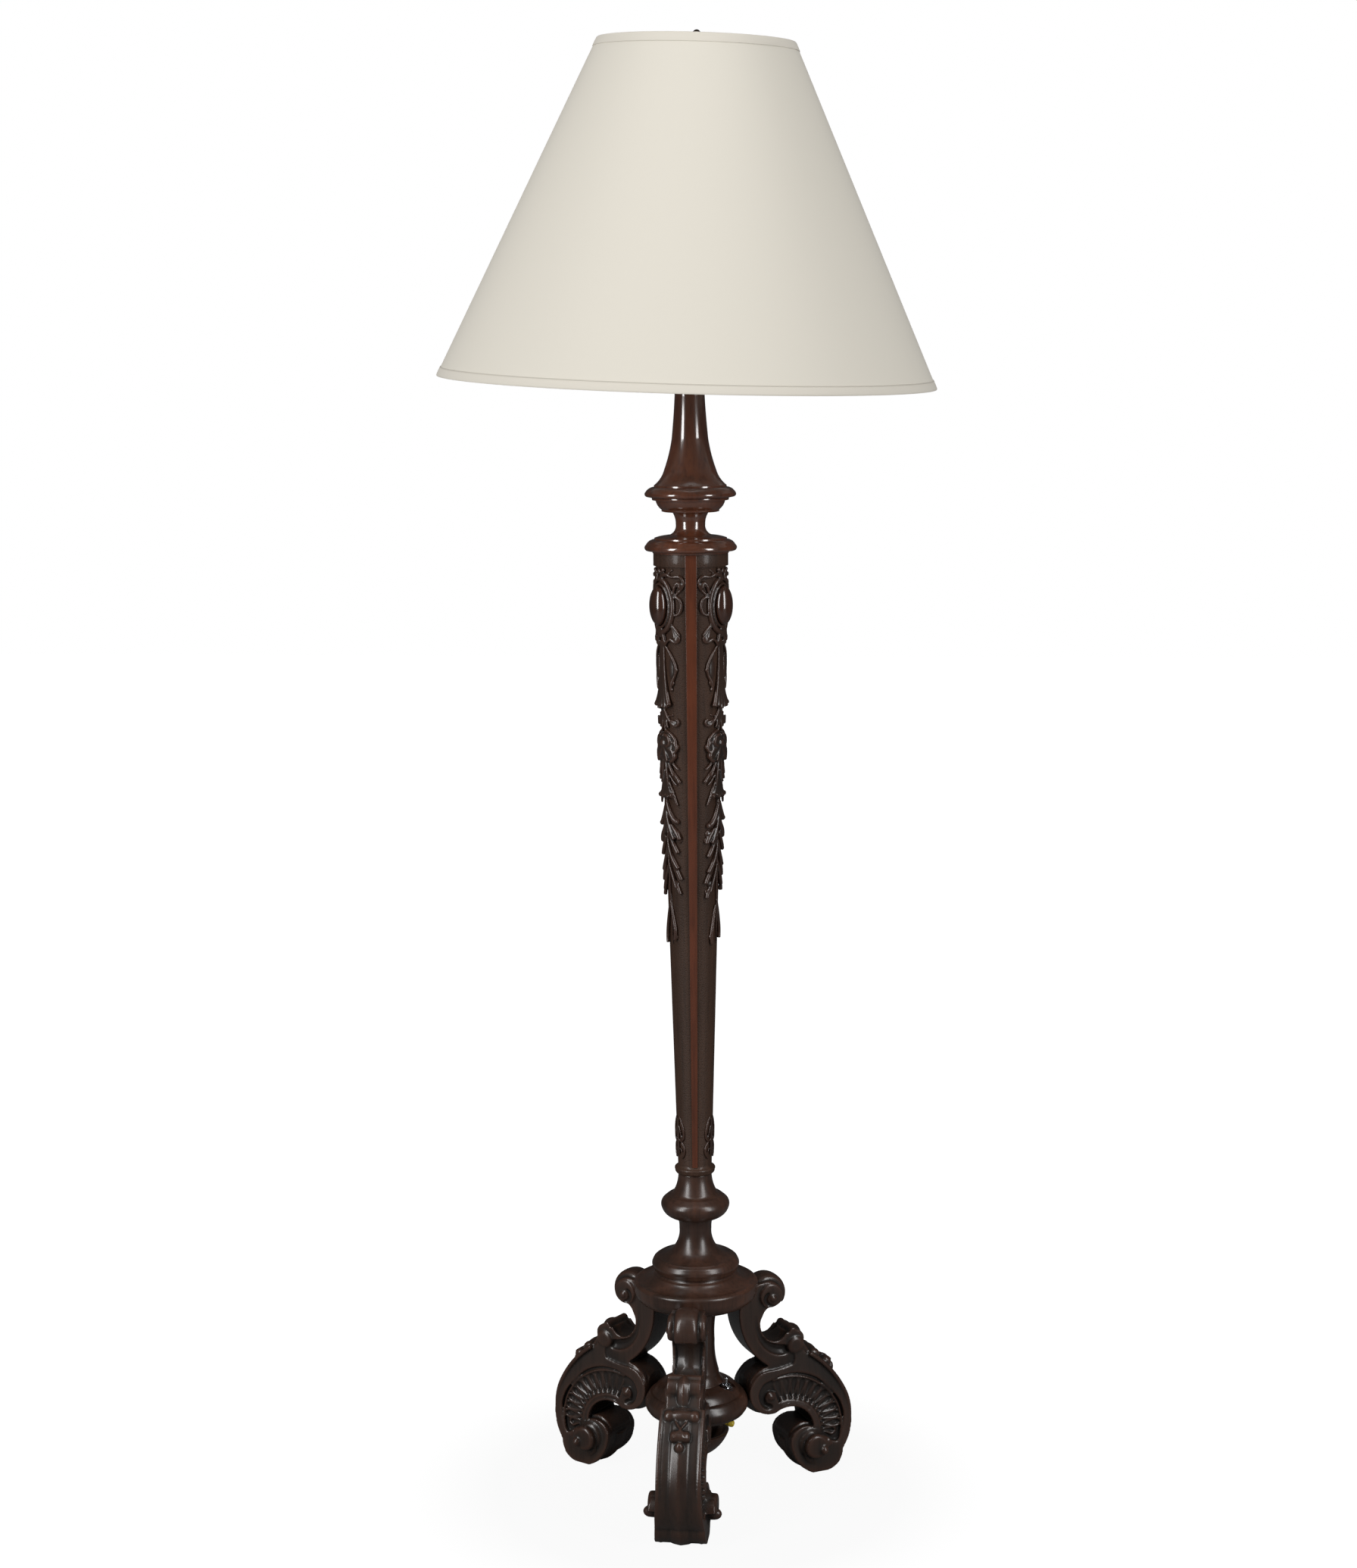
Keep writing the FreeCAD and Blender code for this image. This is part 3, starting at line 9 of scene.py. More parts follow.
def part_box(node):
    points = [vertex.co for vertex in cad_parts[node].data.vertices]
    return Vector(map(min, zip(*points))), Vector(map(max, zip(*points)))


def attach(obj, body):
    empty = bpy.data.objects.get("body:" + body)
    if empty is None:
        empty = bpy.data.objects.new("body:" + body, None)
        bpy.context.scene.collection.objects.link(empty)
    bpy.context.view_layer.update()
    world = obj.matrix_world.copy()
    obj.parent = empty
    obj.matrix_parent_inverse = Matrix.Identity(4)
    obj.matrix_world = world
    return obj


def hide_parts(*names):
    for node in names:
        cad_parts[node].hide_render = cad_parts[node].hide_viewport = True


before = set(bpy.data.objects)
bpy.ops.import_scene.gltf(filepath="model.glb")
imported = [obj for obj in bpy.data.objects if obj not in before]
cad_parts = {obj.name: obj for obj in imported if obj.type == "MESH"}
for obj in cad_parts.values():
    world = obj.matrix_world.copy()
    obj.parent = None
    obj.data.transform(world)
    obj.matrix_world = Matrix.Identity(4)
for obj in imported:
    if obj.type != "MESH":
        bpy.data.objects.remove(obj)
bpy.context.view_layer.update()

MM = 0.001
WELD = 2e-6
EASE, FINE_EASE, BAND_EASE = 0.45 * MM, 0.3 * MM, 0.12 * MM
LEG_VOXEL, PANEL_VOXEL = 1.05 * MM, 0.8 * MM
FRONT = -90.0


# Making pieces

def let_go():
    """Leave edit mode and drop every selection."""
    if bpy.context.object and bpy.context.object.mode != "OBJECT":
        bpy.ops.object.mode_set(mode="OBJECT")
    bpy.ops.object.select_all(action="DESELECT")


def take(*pieces):
    """Select these pieces, the first one active."""
    let_go()
    for piece in pieces:
        piece.select_set(True)
    bpy.context.view_layer.objects.active = pieces[0]


def named(name):
    """Name the piece in hand, and its mesh."""
    piece = bpy.context.object
    piece.name = piece.data.name = name
    return piece


def mm(*values):
    """Millimetres as the scene's metres."""
    return tuple(value * MM for value in values)


def mm_points(spots):
    """Places in millimetres as places in the scene's metres."""
    return [mm(*spot) for spot in spots]


def settle(*pieces):
    """Put each piece's place, turn and size into its mesh."""
    take(*pieces)
    bpy.ops.object.transform_apply(location=True, rotation=True, scale=True)


def bend_points(start, via, end, spacing):
    """Points along the round line from start through via to end, without start."""
    (ax, ay), (bx, by), (cx, cy) = start, via, end
    twice = 2.0 * (ax * (by - cy) + bx * (cy - ay) + cx * (ay - by))
    if abs(twice) < 1e-12:
        return [end]
    a2, b2, c2 = ax * ax + ay * ay, bx * bx + by * by, cx * cx + cy * cy
    mx = (a2 * (by - cy) + b2 * (cy - ay) + c2 * (ay - by)) / twice
    my = (a2 * (cx - bx) + b2 * (ax - cx) + c2 * (bx - ax)) / twice
    radius = math.hypot(ax - mx, ay - my)
    first = math.atan2(ay - my, ax - mx)
    middle = (math.atan2(by - my, bx - mx) - first) % math.tau
    last = (math.atan2(cy - my, cx - mx) - first) % math.tau
    if middle > last:
        last -= math.tau
    steps = max(2, math.ceil(abs(last) * radius / spacing))
    turns = [first + last * i / steps for i in range(1, steps + 1)]
    return [(mx + radius * math.cos(turn), my + radius * math.sin(turn)) for turn in turns]


def traced(path, spacing=1.2 * MM):
    """Points along straight steps (x, y) and round steps (x, y, via_x, via_y)."""
    points = [path[0][:2]]
    for step in path[1:]:
        if len(step) == 2:
            points.append(step)
        else:
            points += bend_points(points[-1], step[2:], step[:2], spacing)
    return points


def shares(radius, height, table, bottom=0.0):
    """A table of shares as radii and heights."""
    scale = (radius, height) * 2
    shift = (0.0, bottom) * 2
    return [tuple(v * by + up for v, by, up in zip(step, scale, shift)) for step in table]


def drawn_line(name, points, closed=False):
    """A line of edges through (x, z) points, extruded one step after another."""
    let_go()
    bpy.ops.mesh.primitive_plane_add(size=MM, location=(0, 0, 0))
    piece = named(name)
    bpy.ops.object.mode_set(mode="EDIT")
    bpy.ops.mesh.select_all(action="SELECT")
    bpy.ops.mesh.merge(type="CENTER")
    spots = [Vector((x, 0.0, z)) for x, z in points]
    bpy.ops.transform.translate(value=spots[0])
    for here, there in zip(spots, spots[1:] + (spots[:1] if closed else [])):
        bpy.ops.mesh.extrude_region_move(TRANSFORM_OT_translate={"value": there - here})
    bpy.ops.mesh.select_all(action="SELECT")
    bpy.ops.mesh.remove_doubles(threshold=WELD / 20.0)
    return piece


def shell(weld=0.0):
    """Close the mesh in hand: merge its doubles, face it outwards and leave edit mode."""
    bpy.ops.mesh.select_all(action="SELECT")
    if weld:
        bpy.ops.mesh.remove_doubles(threshold=weld)
    bpy.ops.mesh.normals_make_consistent(inside=False)
    bpy.ops.object.mode_set(mode="OBJECT")


def eased(piece, width, angle=34.0, segments=2):
    """Round the crisp edges of a piece and smooth what is left."""
    take(piece)
    if width:
        bevel = piece.modifiers.new("eased_edges", "BEVEL")
        bevel.width = width
        bevel.segments = segments
        bevel.limit_method = "ANGLE"
        bevel.angle_limit = math.radians(angle)
        bevel.harden_normals = False
        bpy.ops.object.modifier_apply(modifier=bevel.name)
    bpy.ops.object.shade_smooth_by_angle(angle=math.radians(angle + 6.0))
    return piece


def lathed(name, path, steps=112, ease=EASE, closed=False):
    """Turn an outline about the post's axis, as on a lathe."""
    piece = drawn_line(name, traced(path), closed)
    bpy.ops.mesh.spin(steps=steps, angle=math.tau, center=(0, 0, 0), axis=(0, 0, 1))
    shell(WELD)
    return eased(piece, ease)


def carve(piece, cutter, kind="DIFFERENCE"):
    """Cut one piece with another and clear the cutter away."""
    take(piece)
    cut = piece.modifiers.new("carve", "BOOLEAN")
    cut.operation = kind
    cut.object = cutter
    cut.solver = "EXACT"
    bpy.ops.object.modifier_apply(modifier=cut.name)
    bpy.data.objects.remove(cutter)


def joined(name, pieces):
    """Several pieces as one."""
    take(*pieces)
    bpy.ops.object.join()
    return named(name)


def turned_copy(source, name, direction):
    """A copy of a form, with its own mesh, turned about the post."""
    piece = source.copy()
    piece.data = source.data.copy()
    bpy.context.scene.collection.objects.link(piece)
    piece.name = piece.data.name = name
    piece.rotation_euler = (0, 0, math.radians(direction))
    settle(piece)
    return piece


def finished(piece, body, slot, material, *nodes):
    """Give a piece its finish, its body and the CAD nodes it stands for."""
    piece.data.materials.clear()
    piece.data.materials.append(material)
    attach(piece, body)
    if nodes:
        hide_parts(*nodes)
    return piece


# Finishes

def node(tree, kind, inputs=None, **settings):
    """A shader node with its settings and plain input values."""
    made = tree.nodes.new(kind)
    for key, value in settings.items():
        setattr(made, key, value)
    for key, value in (inputs or {}).items():
        made.inputs[key].default_value = value
    return made


def feed(tree, source, socket):
    """Give a socket another socket's value, or a plain one."""
    if isinstance(source, bpy.types.NodeSocket):
        tree.links.new(source, socket)
    else:
        socket.default_value = source


def ramp(tree, source, stops):
    """A colour ramp fed by a value."""
    made = tree.nodes.new("ShaderNodeValToRGB")
    while len(made.color_ramp.elements) < len(stops):
        made.color_ramp.elements.new(0.5)
    for element, (place, colour) in zip(made.color_ramp.elements, stops):
        element.position = place
        element.color = (*colour, 1.0)
    tree.links.new(source, made.inputs["Fac"])
    return made.outputs["Color"]


def mixed(tree, factor, first, second, blend="MIX"):
    """Two colours mixed by a value."""
    made = node(tree, "ShaderNodeMix", data_type="RGBA", blend_type=blend)
    for place, source in (("Factor", factor), (6, first), (7, second)):
        feed(tree, source, made.inputs[place])
    return made.outputs[2]


def sum_of(tree, operation, first, second=0.0, third=0.0, clamp=False):
    """A sum of values and plain numbers."""
    made = node(tree, "ShaderNodeMath", operation=operation, use_clamp=clamp)
    for socket, source in zip(made.inputs, (first, second, third)):
        feed(tree, source, socket)
    return made.outputs[0]


def new_group(name, inputs, outputs, vector=True):
    """An empty node group with named values going in, after a vector if it needs one, and coming out."""
    tree = bpy.data.node_groups.new(name, "ShaderNodeTree")
    if vector:
        tree.interface.new_socket("Vector", in_out="INPUT", socket_type="NodeSocketVector")
    for title, value in inputs.items():
        socket = tree.interface.new_socket(title, in_out="INPUT", socket_type="NodeSocketFloat")
        socket.default_value = value
    for title in outputs:
        tree.interface.new_socket(title, in_out="OUTPUT", socket_type="NodeSocketFloat")
    return tree, tree.nodes.new("NodeGroupInput").outputs


def put_out(tree, **values):
    """Link values to a group's outputs."""
    out = tree.nodes.new("NodeGroupOutput").inputs
    for title, value in values.items():
        tree.links.new(value, out[title])
    return tree


def noise(tree, vector, scale, detail, rough=0.5, distortion=0.0):
    """A soft random value that is read at a vector."""
    inputs = {"Detail": detail, "Roughness": rough, "Distortion": distortion}
    made = node(tree, "ShaderNodeTexNoise", inputs)
    tree.links.new(vector, made.inputs["Vector"])
    feed(tree, scale, made.inputs["Scale"])
    return made.outputs[0]


def drawn_out(tree, vector, scale):
    """A vector stretched by a scale for each axis."""
    made = node(tree, "ShaderNodeMapping", {"Scale": scale})
    tree.links.new(vector, made.inputs["Vector"])
    return made.outputs[0]


def bumped(tree, shader, height, strength, distance):
    """Let a height show in the surface."""
    bump = node(tree, "ShaderNodeBump", {"Strength": strength, "Distance": distance})
    tree.links.new(height, bump.inputs["Height"])
    tree.links.new(bump.outputs[0], shader.inputs["Normal"])


def dimmed(colour, share):
    """A colour made darker or lighter, with its alpha."""
    return (*[part * share for part in colour], 1.0)


def wood_grain():
    """Long grain, open pores and slow patches of redder wood."""
    tree, given = new_group("wood_grain", {"Figure": 26.0, "Pores": 260.0}, ("Figure", "Pores", "Patches"))
    along = drawn_out(tree, given["Vector"], (1.0, 1.0, 0.07))
    return put_out(
        tree,
        Figure=noise(tree, along, given["Figure"], 5.0, rough=0.6, distortion=0.6),
        Pores=noise(tree, along, given["Pores"], 3.0, rough=0.55),
        Patches=noise(tree, given["Vector"], 9.0, 2.0),
    )


def hollow_glaze_and_shade():
    """How far a point of a carved piece lies in a hollow, darkened there by glaze and painted shade, or on a
    ridge, from its hollow attribute.
    """
    tree, given = new_group("hollow_glaze_and_shade", {"Reach": 1.0}, ("Glaze", "Rubbed"), vector=False)
    mark = node(tree, "ShaderNodeAttribute", attribute_name="hollow")
    reached = sum_of(tree, "MULTIPLY", mark.outputs["Fac"], given["Reach"])
    return put_out(
        tree,
        Glaze=sum_of(tree, "MULTIPLY", reached, 1.0, clamp=True),
        Rubbed=sum_of(tree, "MULTIPLY", reached, -1.0, clamp=True),
    )


def surface_marks():
    """Broad smears and a fine skin, for metal and mouldings."""
    tree, given = new_group("surface_marks", {"Broad": 60.0, "Fine": 900.0}, ("Broad", "Fine"))
    return put_out(
        tree,
        Broad=noise(tree, given["Vector"], given["Broad"], 3.0),
        Fine=noise(tree, given["Vector"], given["Fine"], 2.0),
    )


def plain_weave():
    """Slubs both ways, crossing threads and small flecks, on a map in metres."""
    tree, given = new_group("plain_weave", {"Threads": 200.0}, ("Slub", "Weave", "Fleck"))
    cloth = given["Vector"]
    slubs = [
        noise(tree, drawn_out(tree, cloth, scale), 620.0, 3.0, rough=0.55)
        for scale in ((1.0, 0.035, 1.0), (0.035, 1.0, 1.0))
    ]
    waves = []
    for direction in ("X", "Y"):
        inputs = {"Distortion": 1.2, "Detail": 2.0, "Detail Scale": 1.5}
        wave = node(tree, "ShaderNodeTexWave", inputs, bands_direction=direction)
        tree.links.new(cloth, wave.inputs["Vector"])
        tree.links.new(given["Threads"], wave.inputs["Scale"])
        waves.append(wave.outputs["Fac"])
    fleck = noise(tree, cloth, 170.0, 4.0, rough=0.7)
    return put_out(
        tree,
        Slub=sum_of(tree, "MULTIPLY", sum_of(tree, "ADD", *slubs), 0.5),
        Weave=sum_of(tree, "MULTIPLY", *waves),
        Fleck=sum_of(tree, "MULTIPLY_ADD", fleck, 9.0, -6.3, clamp=True),
    )


GRAIN = wood_grain()
HOLLOW = hollow_glaze_and_shade()
MARKS = surface_marks()
WEAVE = plain_weave()


def new_finish(name):
    """An empty finish, its tree, its shader and its coordinates."""
    finish = bpy.data.materials.new(name)
    finish.use_nodes = True
    tree = finish.node_tree
    return finish, tree, tree.nodes["Principled BSDF"], node(tree, "ShaderNodeTexCoord").outputs


def constants(shader, values):
    """Plain values on a node's sockets."""
    for name, value in values.items():
        shader.inputs[name].default_value = value


def placed_group(tree, group, vector=None, **values):
    """A node group set into a tree with its own values; what it puts out."""
    made = node(tree, "ShaderNodeGroup", node_tree=group)
    constants(made, values)
    if vector:
        tree.links.new(vector, made.inputs["Vector"])
    return made.outputs


def wood_tone(tree, place, dark, middle, red):
    """The stained wood's colour, its pores and its slow patches."""
    grain = placed_group(tree, GRAIN, place["Object"])
    figure = sum_of(tree, "MULTIPLY_ADD", grain["Figure"], 0.9, -0.2)
    patch = sum_of(tree, "MULTIPLY_ADD", grain["Patches"], 1.2, -0.35)
    figure = sum_of(tree, "MULTIPLY", figure, 0.75)
    tone = sum_of(tree, "ADD", figure, sum_of(tree, "MULTIPLY", patch, 0.45), clamp=True)
    colour = ramp(tree, tone, [(0.12, dark), (0.42, middle), (0.85, red)])
    pore = sum_of(tree, "MULTIPLY_ADD", grain["Pores"], -4.0, 2.1, clamp=True)
    colour = mixed(tree, sum_of(tree, "MULTIPLY", pore, 0.45), colour, dimmed(dark, 0.45))
    return colour, sum_of(tree, "MULTIPLY", pore, -0.25), grain["Patches"]


# Near-black for carved hollows: partly a dark glaze, partly painted shade.
GLAZE_AND_SHADE_COLOUR = (0.012, 0.010, 0.009)


def glazed_and_shaded(tree, colour, red, reach, rough, coat):
    """Dark glaze and painted shade in the hollows, dull there, and ridges that are rubbed lighter."""
    hollow = placed_group(tree, HOLLOW, Reach=reach)
    glaze_and_shade, rubbed = hollow["Glaze"], hollow["Rubbed"]
    # Hollows go towards that near-black: part glaze, part painted shade.
    colour = mixed(tree, sum_of(tree, "MULTIPLY", glaze_and_shade, 0.85), colour, (*GLAZE_AND_SHADE_COLOUR, 1.0))
    colour = mixed(tree, sum_of(tree, "MULTIPLY", rubbed, 0.16), colour, dimmed(red, 1.5))
    dull = sum_of(tree, "MULTIPLY_ADD", glaze_and_shade, 0.35, rough)
    return colour, dull, sum_of(tree, "MULTIPLY_ADD", glaze_and_shade, -0.75 * coat, coat)


def stippled(tree, place, colour, dark, rise, depth):
    """Small pits punched into a ground."""
    punch = node(tree, "ShaderNodeTexVoronoi", {"Scale": 520.0, "Randomness": 0.9})
    tree.links.new(place["Object"], punch.inputs["Vector"])
    pit = sum_of(tree, "MULTIPLY_ADD", punch.outputs["Distance"], -2.4, 1.15, clamp=True)
    colour = mixed(tree, sum_of(tree, "MULTIPLY", pit, 0.5), colour, dimmed(dark, 0.4))
    return colour, sum_of(tree, "SUBTRACT", rise, sum_of(tree, "MULTIPLY", pit, depth))


def polished_wood(
    name, dark, middle, red, rough=0.30, coat=0.9, coat_rough=0.15, coat_ior=1.9, glaze_and_shade=0.0, stipple=0.0,
):
    """Stained and French-polished wood; glaze and painted shade darken carved hollows and stipple adds a
    punched ground.
    """
    finish, tree, shader, place = new_finish(name)
    colour, rise, patches = wood_tone(tree, place, dark, middle, red)
    coating = {"Coat Weight": coat, "Coat Roughness": coat_rough, "Coat IOR": coat_ior}
    constants(shader, {"Specular IOR Level": 0.30, **coating})
    if glaze_and_shade:
        colour, dull, gloss = glazed_and_shaded(tree, colour, red, glaze_and_shade, rough, coat)
        tree.links.new(gloss, shader.inputs["Coat Weight"])
    else:
        dull = sum_of(tree, "MULTIPLY_ADD", patches, 0.18, rough - 0.09)
    if stipple:
        colour, rise = stippled(tree, place, colour, dark, rise, stipple)
    bumped(tree, shader, rise, 0.5, 0.4 * MM)
    tree.links.new(colour, shader.inputs["Base Color"])
    tree.links.new(dull, shader.inputs["Roughness"])
    return finish


def worn_metal(name, colour, dull, rough, scratch=0.10):
    """Metal with soft smears and fine scratches in its shine."""
    finish, tree, shader, place = new_finish(name)
    marks = placed_group(tree, MARKS, place["Object"], Broad=60.0, Fine=900.0)
    tree.links.new(ramp(tree, marks["Broad"], [(0.35, colour), (0.75, dull)]), shader.inputs["Base Color"])
    worn = sum_of(tree, "MULTIPLY_ADD", marks["Broad"], scratch * 2.0, rough - scratch)
    tree.links.new(worn, shader.inputs["Roughness"])
    bumped(tree, shader, marks["Fine"], 0.12, 0.2 * MM)
    constants(shader, {"Metallic": 1.0})
    return finish


def moulded(name, colour, shade_colour, rough, grain=1400.0):
    """Moulded plastic, card or enamel with a fine skin and slight tone changes."""
    finish, tree, shader, place = new_finish(name)
    marks = placed_group(tree, MARKS, place["Object"], Broad=45.0, Fine=grain)
    tone = ramp(tree, marks["Broad"], [(0.3, colour), (0.8, shade_colour)])
    tree.links.new(tone, shader.inputs["Base Color"])
    dull = sum_of(tree, "MULTIPLY_ADD", marks["Broad"], 0.12, rough - 0.06)
    tree.links.new(dull, shader.inputs["Roughness"])
    bumped(tree, shader, marks["Fine"], 0.25, 0.1 * MM)
    return finish


def linen(name, light, dark, thread=0.75 * MM):
    """Plain-woven linen on the piece's own UV map in metres, with slubs both ways and small flecks."""
    finish, tree, shader, place = new_finish(name)
    cloth = placed_group(tree, WEAVE, place["UV"], Threads=math.pi / (20.0 * thread))
    tone = sum_of(tree, "MULTIPLY_ADD", cloth["Slub"], 2.4, -0.75, clamp=True)
    colour = ramp(tree, tone, [(0.0, dark), (1.0, light)])
    colour = mixed(tree, sum_of(tree, "MULTIPLY", cloth["Fleck"], 0.35), colour, dimmed(dark, 0.62))
    tree.links.new(colour, shader.inputs["Base Color"])
    rise = sum_of(tree, "ADD", cloth["Slub"], sum_of(tree, "MULTIPLY", cloth["Weave"], 0.35))
    bumped(tree, shader, rise, 0.35, 0.4 * MM)
    tree.links.new(sum_of(tree, "MULTIPLY_ADD", cloth["Weave"], 0.1, 0.82), shader.inputs["Roughness"])
    constants(shader, {"Specular IOR Level": 0.2, "Sheen Weight": 0.25, "Sheen Roughness": 0.5})
    return finish


def clear_glass(name, colour, rough):
    """Frosted glass with a faint cloud in its roughness."""
    finish, tree, shader, place = new_finish(name)
    cloud = noise(tree, place["Object"], 30.0, 2.0)
    tint = ramp(tree, cloud, [(0.3, colour), (0.8, dimmed(colour, 0.94)[:3])])
    tree.links.new(tint, shader.inputs["Base Color"])
    tree.links.new(sum_of(tree, "MULTIPLY_ADD", cloud, 0.1, rough), shader.inputs["Roughness"])
    constants(shader, {"Transmission Weight": 1.0, "IOR": 1.48})
    return finish


TURNED_WOOD = polished_wood(
    "turned_wood", (0.022, 0.012, 0.008), (0.072, 0.033, 0.021), (0.215, 0.070, 0.032),
    coat=0.75, coat_rough=0.28, coat_ior=1.62,
)
UPPER_WOOD = polished_wood(
    "upper_wood", (0.050, 0.019, 0.010), (0.175, 0.054, 0.024), (0.330, 0.102, 0.040),
    coat=1.0, coat_rough=0.12, coat_ior=2.2,
)
BAND_WOOD = polished_wood(
    "band_wood", (0.084, 0.025, 0.0125), (0.147, 0.041, 0.018), (0.210, 0.060, 0.025), coat=0.5,
)
# Carved wood, its hollows darkened by glaze and painted shade.
CARVED_WOOD = polished_wood(
    "carved_wood", (0.018, 0.011, 0.008), (0.041, 0.023, 0.016), (0.125, 0.045, 0.025),
    rough=0.40, coat=0.6, coat_rough=0.24, coat_ior=1.7, glaze_and_shade=1.7,
)
GROUND_WOOD = polished_wood(
    "ground_wood", (0.042, 0.022, 0.014), (0.072, 0.036, 0.022), (0.125, 0.056, 0.031),
    rough=0.50, coat=0.12, stipple=1.0,
)
STONE_WOOD = polished_wood(
    "stone_wood", (0.026, 0.012, 0.008), (0.066, 0.023, 0.012), (0.230, 0.066, 0.022), rough=0.22, coat=1.0,
)
DOWEL_WOOD = polished_wood(
    "dowel_wood", (0.36, 0.24, 0.13), (0.48, 0.34, 0.20), (0.58, 0.42, 0.26), rough=0.6, coat=0.0,
)
BRASS = worn_metal("aged_brass", (0.48, 0.33, 0.13), (0.30, 0.20, 0.09), 0.28)
DARK_BRASS = worn_metal("dark_brass", (0.085, 0.062, 0.045), (0.050, 0.038, 0.030), 0.34)
ZINC = worn_metal("zinc_plate", (0.52, 0.52, 0.50), (0.40, 0.41, 0.42), 0.36)
CHROME = worn_metal("bright_chrome", (0.74, 0.75, 0.77), (0.62, 0.63, 0.66), 0.12, scratch=0.05)
ALUMINIUM = worn_metal("rolled_aluminium", (0.62, 0.62, 0.62), (0.50, 0.50, 0.51), 0.30)
CARD = moulded("liner_card", (0.045, 0.036, 0.030), (0.030, 0.025, 0.020), 0.8)
CERAMIC = moulded("socket_ceramic", (0.80, 0.79, 0.75), (0.72, 0.70, 0.65), 0.25)
ENAMEL = moulded("white_enamel", (0.78, 0.78, 0.75), (0.68, 0.67, 0.63), 0.35)
BLACK = moulded("black_moulding", (0.022, 0.022, 0.023), (0.035, 0.034, 0.034), 0.45)
JACKET = moulded("wire_jacket", (0.055, 0.032, 0.018), (0.038, 0.024, 0.014), 0.5)
YELLOW = moulded("yellow_cap", (0.80, 0.60, 0.05), (0.66, 0.47, 0.03), 0.38, grain=500.0)
GLASS = clear_glass("frosted_glass", (0.95, 0.95, 0.93), 0.35)
STEM_GLASS = moulded("pressed_stem", (0.78, 0.79, 0.76), (0.66, 0.67, 0.65), 0.2)
LINEN = linen("ivory_linen", (0.770, 0.735, 0.655), (0.690, 0.650, 0.565))
# Darker linen for a painted shadow line along the lower tape's edge.
EDGE_SHADOW_LINEN = linen("edge_shadow_linen", (0.600, 0.560, 0.490), (0.500, 0.465, 0.400), thread=0.9 * MM)
TAPE = linen("linen_tape", (0.760, 0.720, 0.640), (0.660, 0.620, 0.540), thread=0.9 * MM)
BACKING = moulded("shade_backing", (0.80, 0.79, 0.76), (0.72, 0.71, 0.67), 0.55)


# Turned parts of the post, from the floor up. Radii and depths are in millimetres.

BORE = 5.2 * MM
CUP_RADIUS, CUP_HEIGHT, CUP_WALL, CUP_FLOOR = 38.4, 29.0, 5.0, 8.0
DISC_RADIUS, DISC_WALL, DISC_WEB, DISC_SHOULDER_SHARE = 61.0, 9.0, 9.0, 0.84
CAP_RADIUS = 73.0
SWITCH_PLACE, SWITCH_WELL, SWITCH_HOLE, WELL_DEPTH, DRILL = (36.0, -9.0), 11.5, 5.65, 1.2, 100.0

CUP_SHARES = [(0.34, 0.0), (1.0, 1.0, 0.745, 0.42)]
DISC_SHARES = [
    (0.935, 0.0), (0.985, 0.12, 0.955, 0.05), (0.955, 0.50, 1.0, 0.30), (0.86, 0.62, 0.92, 0.58),
    (0.84, 0.67), (0.60, 0.955, 0.74, 0.86), (0.52, 1.0),
]
POST_SHARES = [
    (0.88, 0.0), (0.72, 0.13, 0.775, 0.05), (0.595, 0.50, 0.62, 0.30), (0.66, 0.88, 0.605, 0.74), (0.76, 1.0),
]
CAP_SHARES = [
    (0.85, 0.0), (0.993, 0.40, 0.955, 0.16), (1.0, 0.56), (0.985, 0.66, 1.0, 0.62), (0.95, 0.695),
    (0.68, 0.90, 0.76, 0.755), (0.625, 1.0, 0.635, 0.96),
]
REEL_SHARES = [
    (0.90, 0.0), (0.985, 0.08, 0.96, 0.03), (0.985, 0.20, 1.01, 0.14), (0.91, 0.265, 0.955, 0.245),
    (0.89, 0.285), (0.55, 0.40, 0.67, 0.33), (0.372, 0.82, 0.395, 0.62), (0.40, 1.0, 0.378, 0.92),
]
KNOP_SHARES = [
    (0.52, 0.0), (0.60, 0.05), (0.98, 0.26, 0.86, 0.125), (0.92, 0.45, 0.995, 0.36),
    (0.81, 0.515, 0.87, 0.48), (0.78, 0.53), (0.62, 0.61, 0.68, 0.55), (0.487, 1.0, 0.52, 0.80),
]
SPOOL_SHARES = [
    (0.84, 0.0), (0.84, 0.03), (0.975, 0.045), (0.985, 0.150, 1.018, 0.105), (0.840, 0.245, 0.938, 0.203),
    (0.80, 0.245), (0.80, 0.275), (0.50, 0.322, 0.64, 0.310), (0.326, 0.525, 0.358, 0.400),
    (0.407, 0.745, 0.352, 0.660), (0.59, 0.745), (0.635, 0.755), (0.635, 0.785),
    (0.765, 0.955, 0.728, 0.870), (0.84, 0.958), (0.85, 1.0),
]
NECK_SHARES = [
    (0.85, 0.0), (0.963, 0.005), (0.995, 0.031, 1.014, 0.016), (0.842, 0.057, 0.932, 0.0475), (0.806, 0.057),
    (0.806, 0.0665), (0.579, 0.147, 0.672, 0.100), (0.403, 0.316, 0.465, 0.238), (0.332, 0.540, 0.362, 0.428),
    (0.332, 0.955), (0.37, 0.97), (0.37, 1.0),
]


def levels(node_name):
    """The lowest and highest place of a CAD node, to a hundredth of a millimetre."""
    low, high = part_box(node_name)
    return round(low[2], 5), round(high[2], 5)


def turned(name, node_name, radius, table, wood=TURNED_WOOD, ease=EASE):
    """A turned part as tall as the node it stands for, with a bore for the pipe."""
    bottom, top = levels(node_name)
    outline = [(BORE, bottom)] + shares(radius * MM, top - bottom, table, bottom) + [(BORE, top)]
    piece = lathed(name, outline, closed=True, ease=ease)
    return finished(piece, "stand", "dark_wood", wood, node_name)


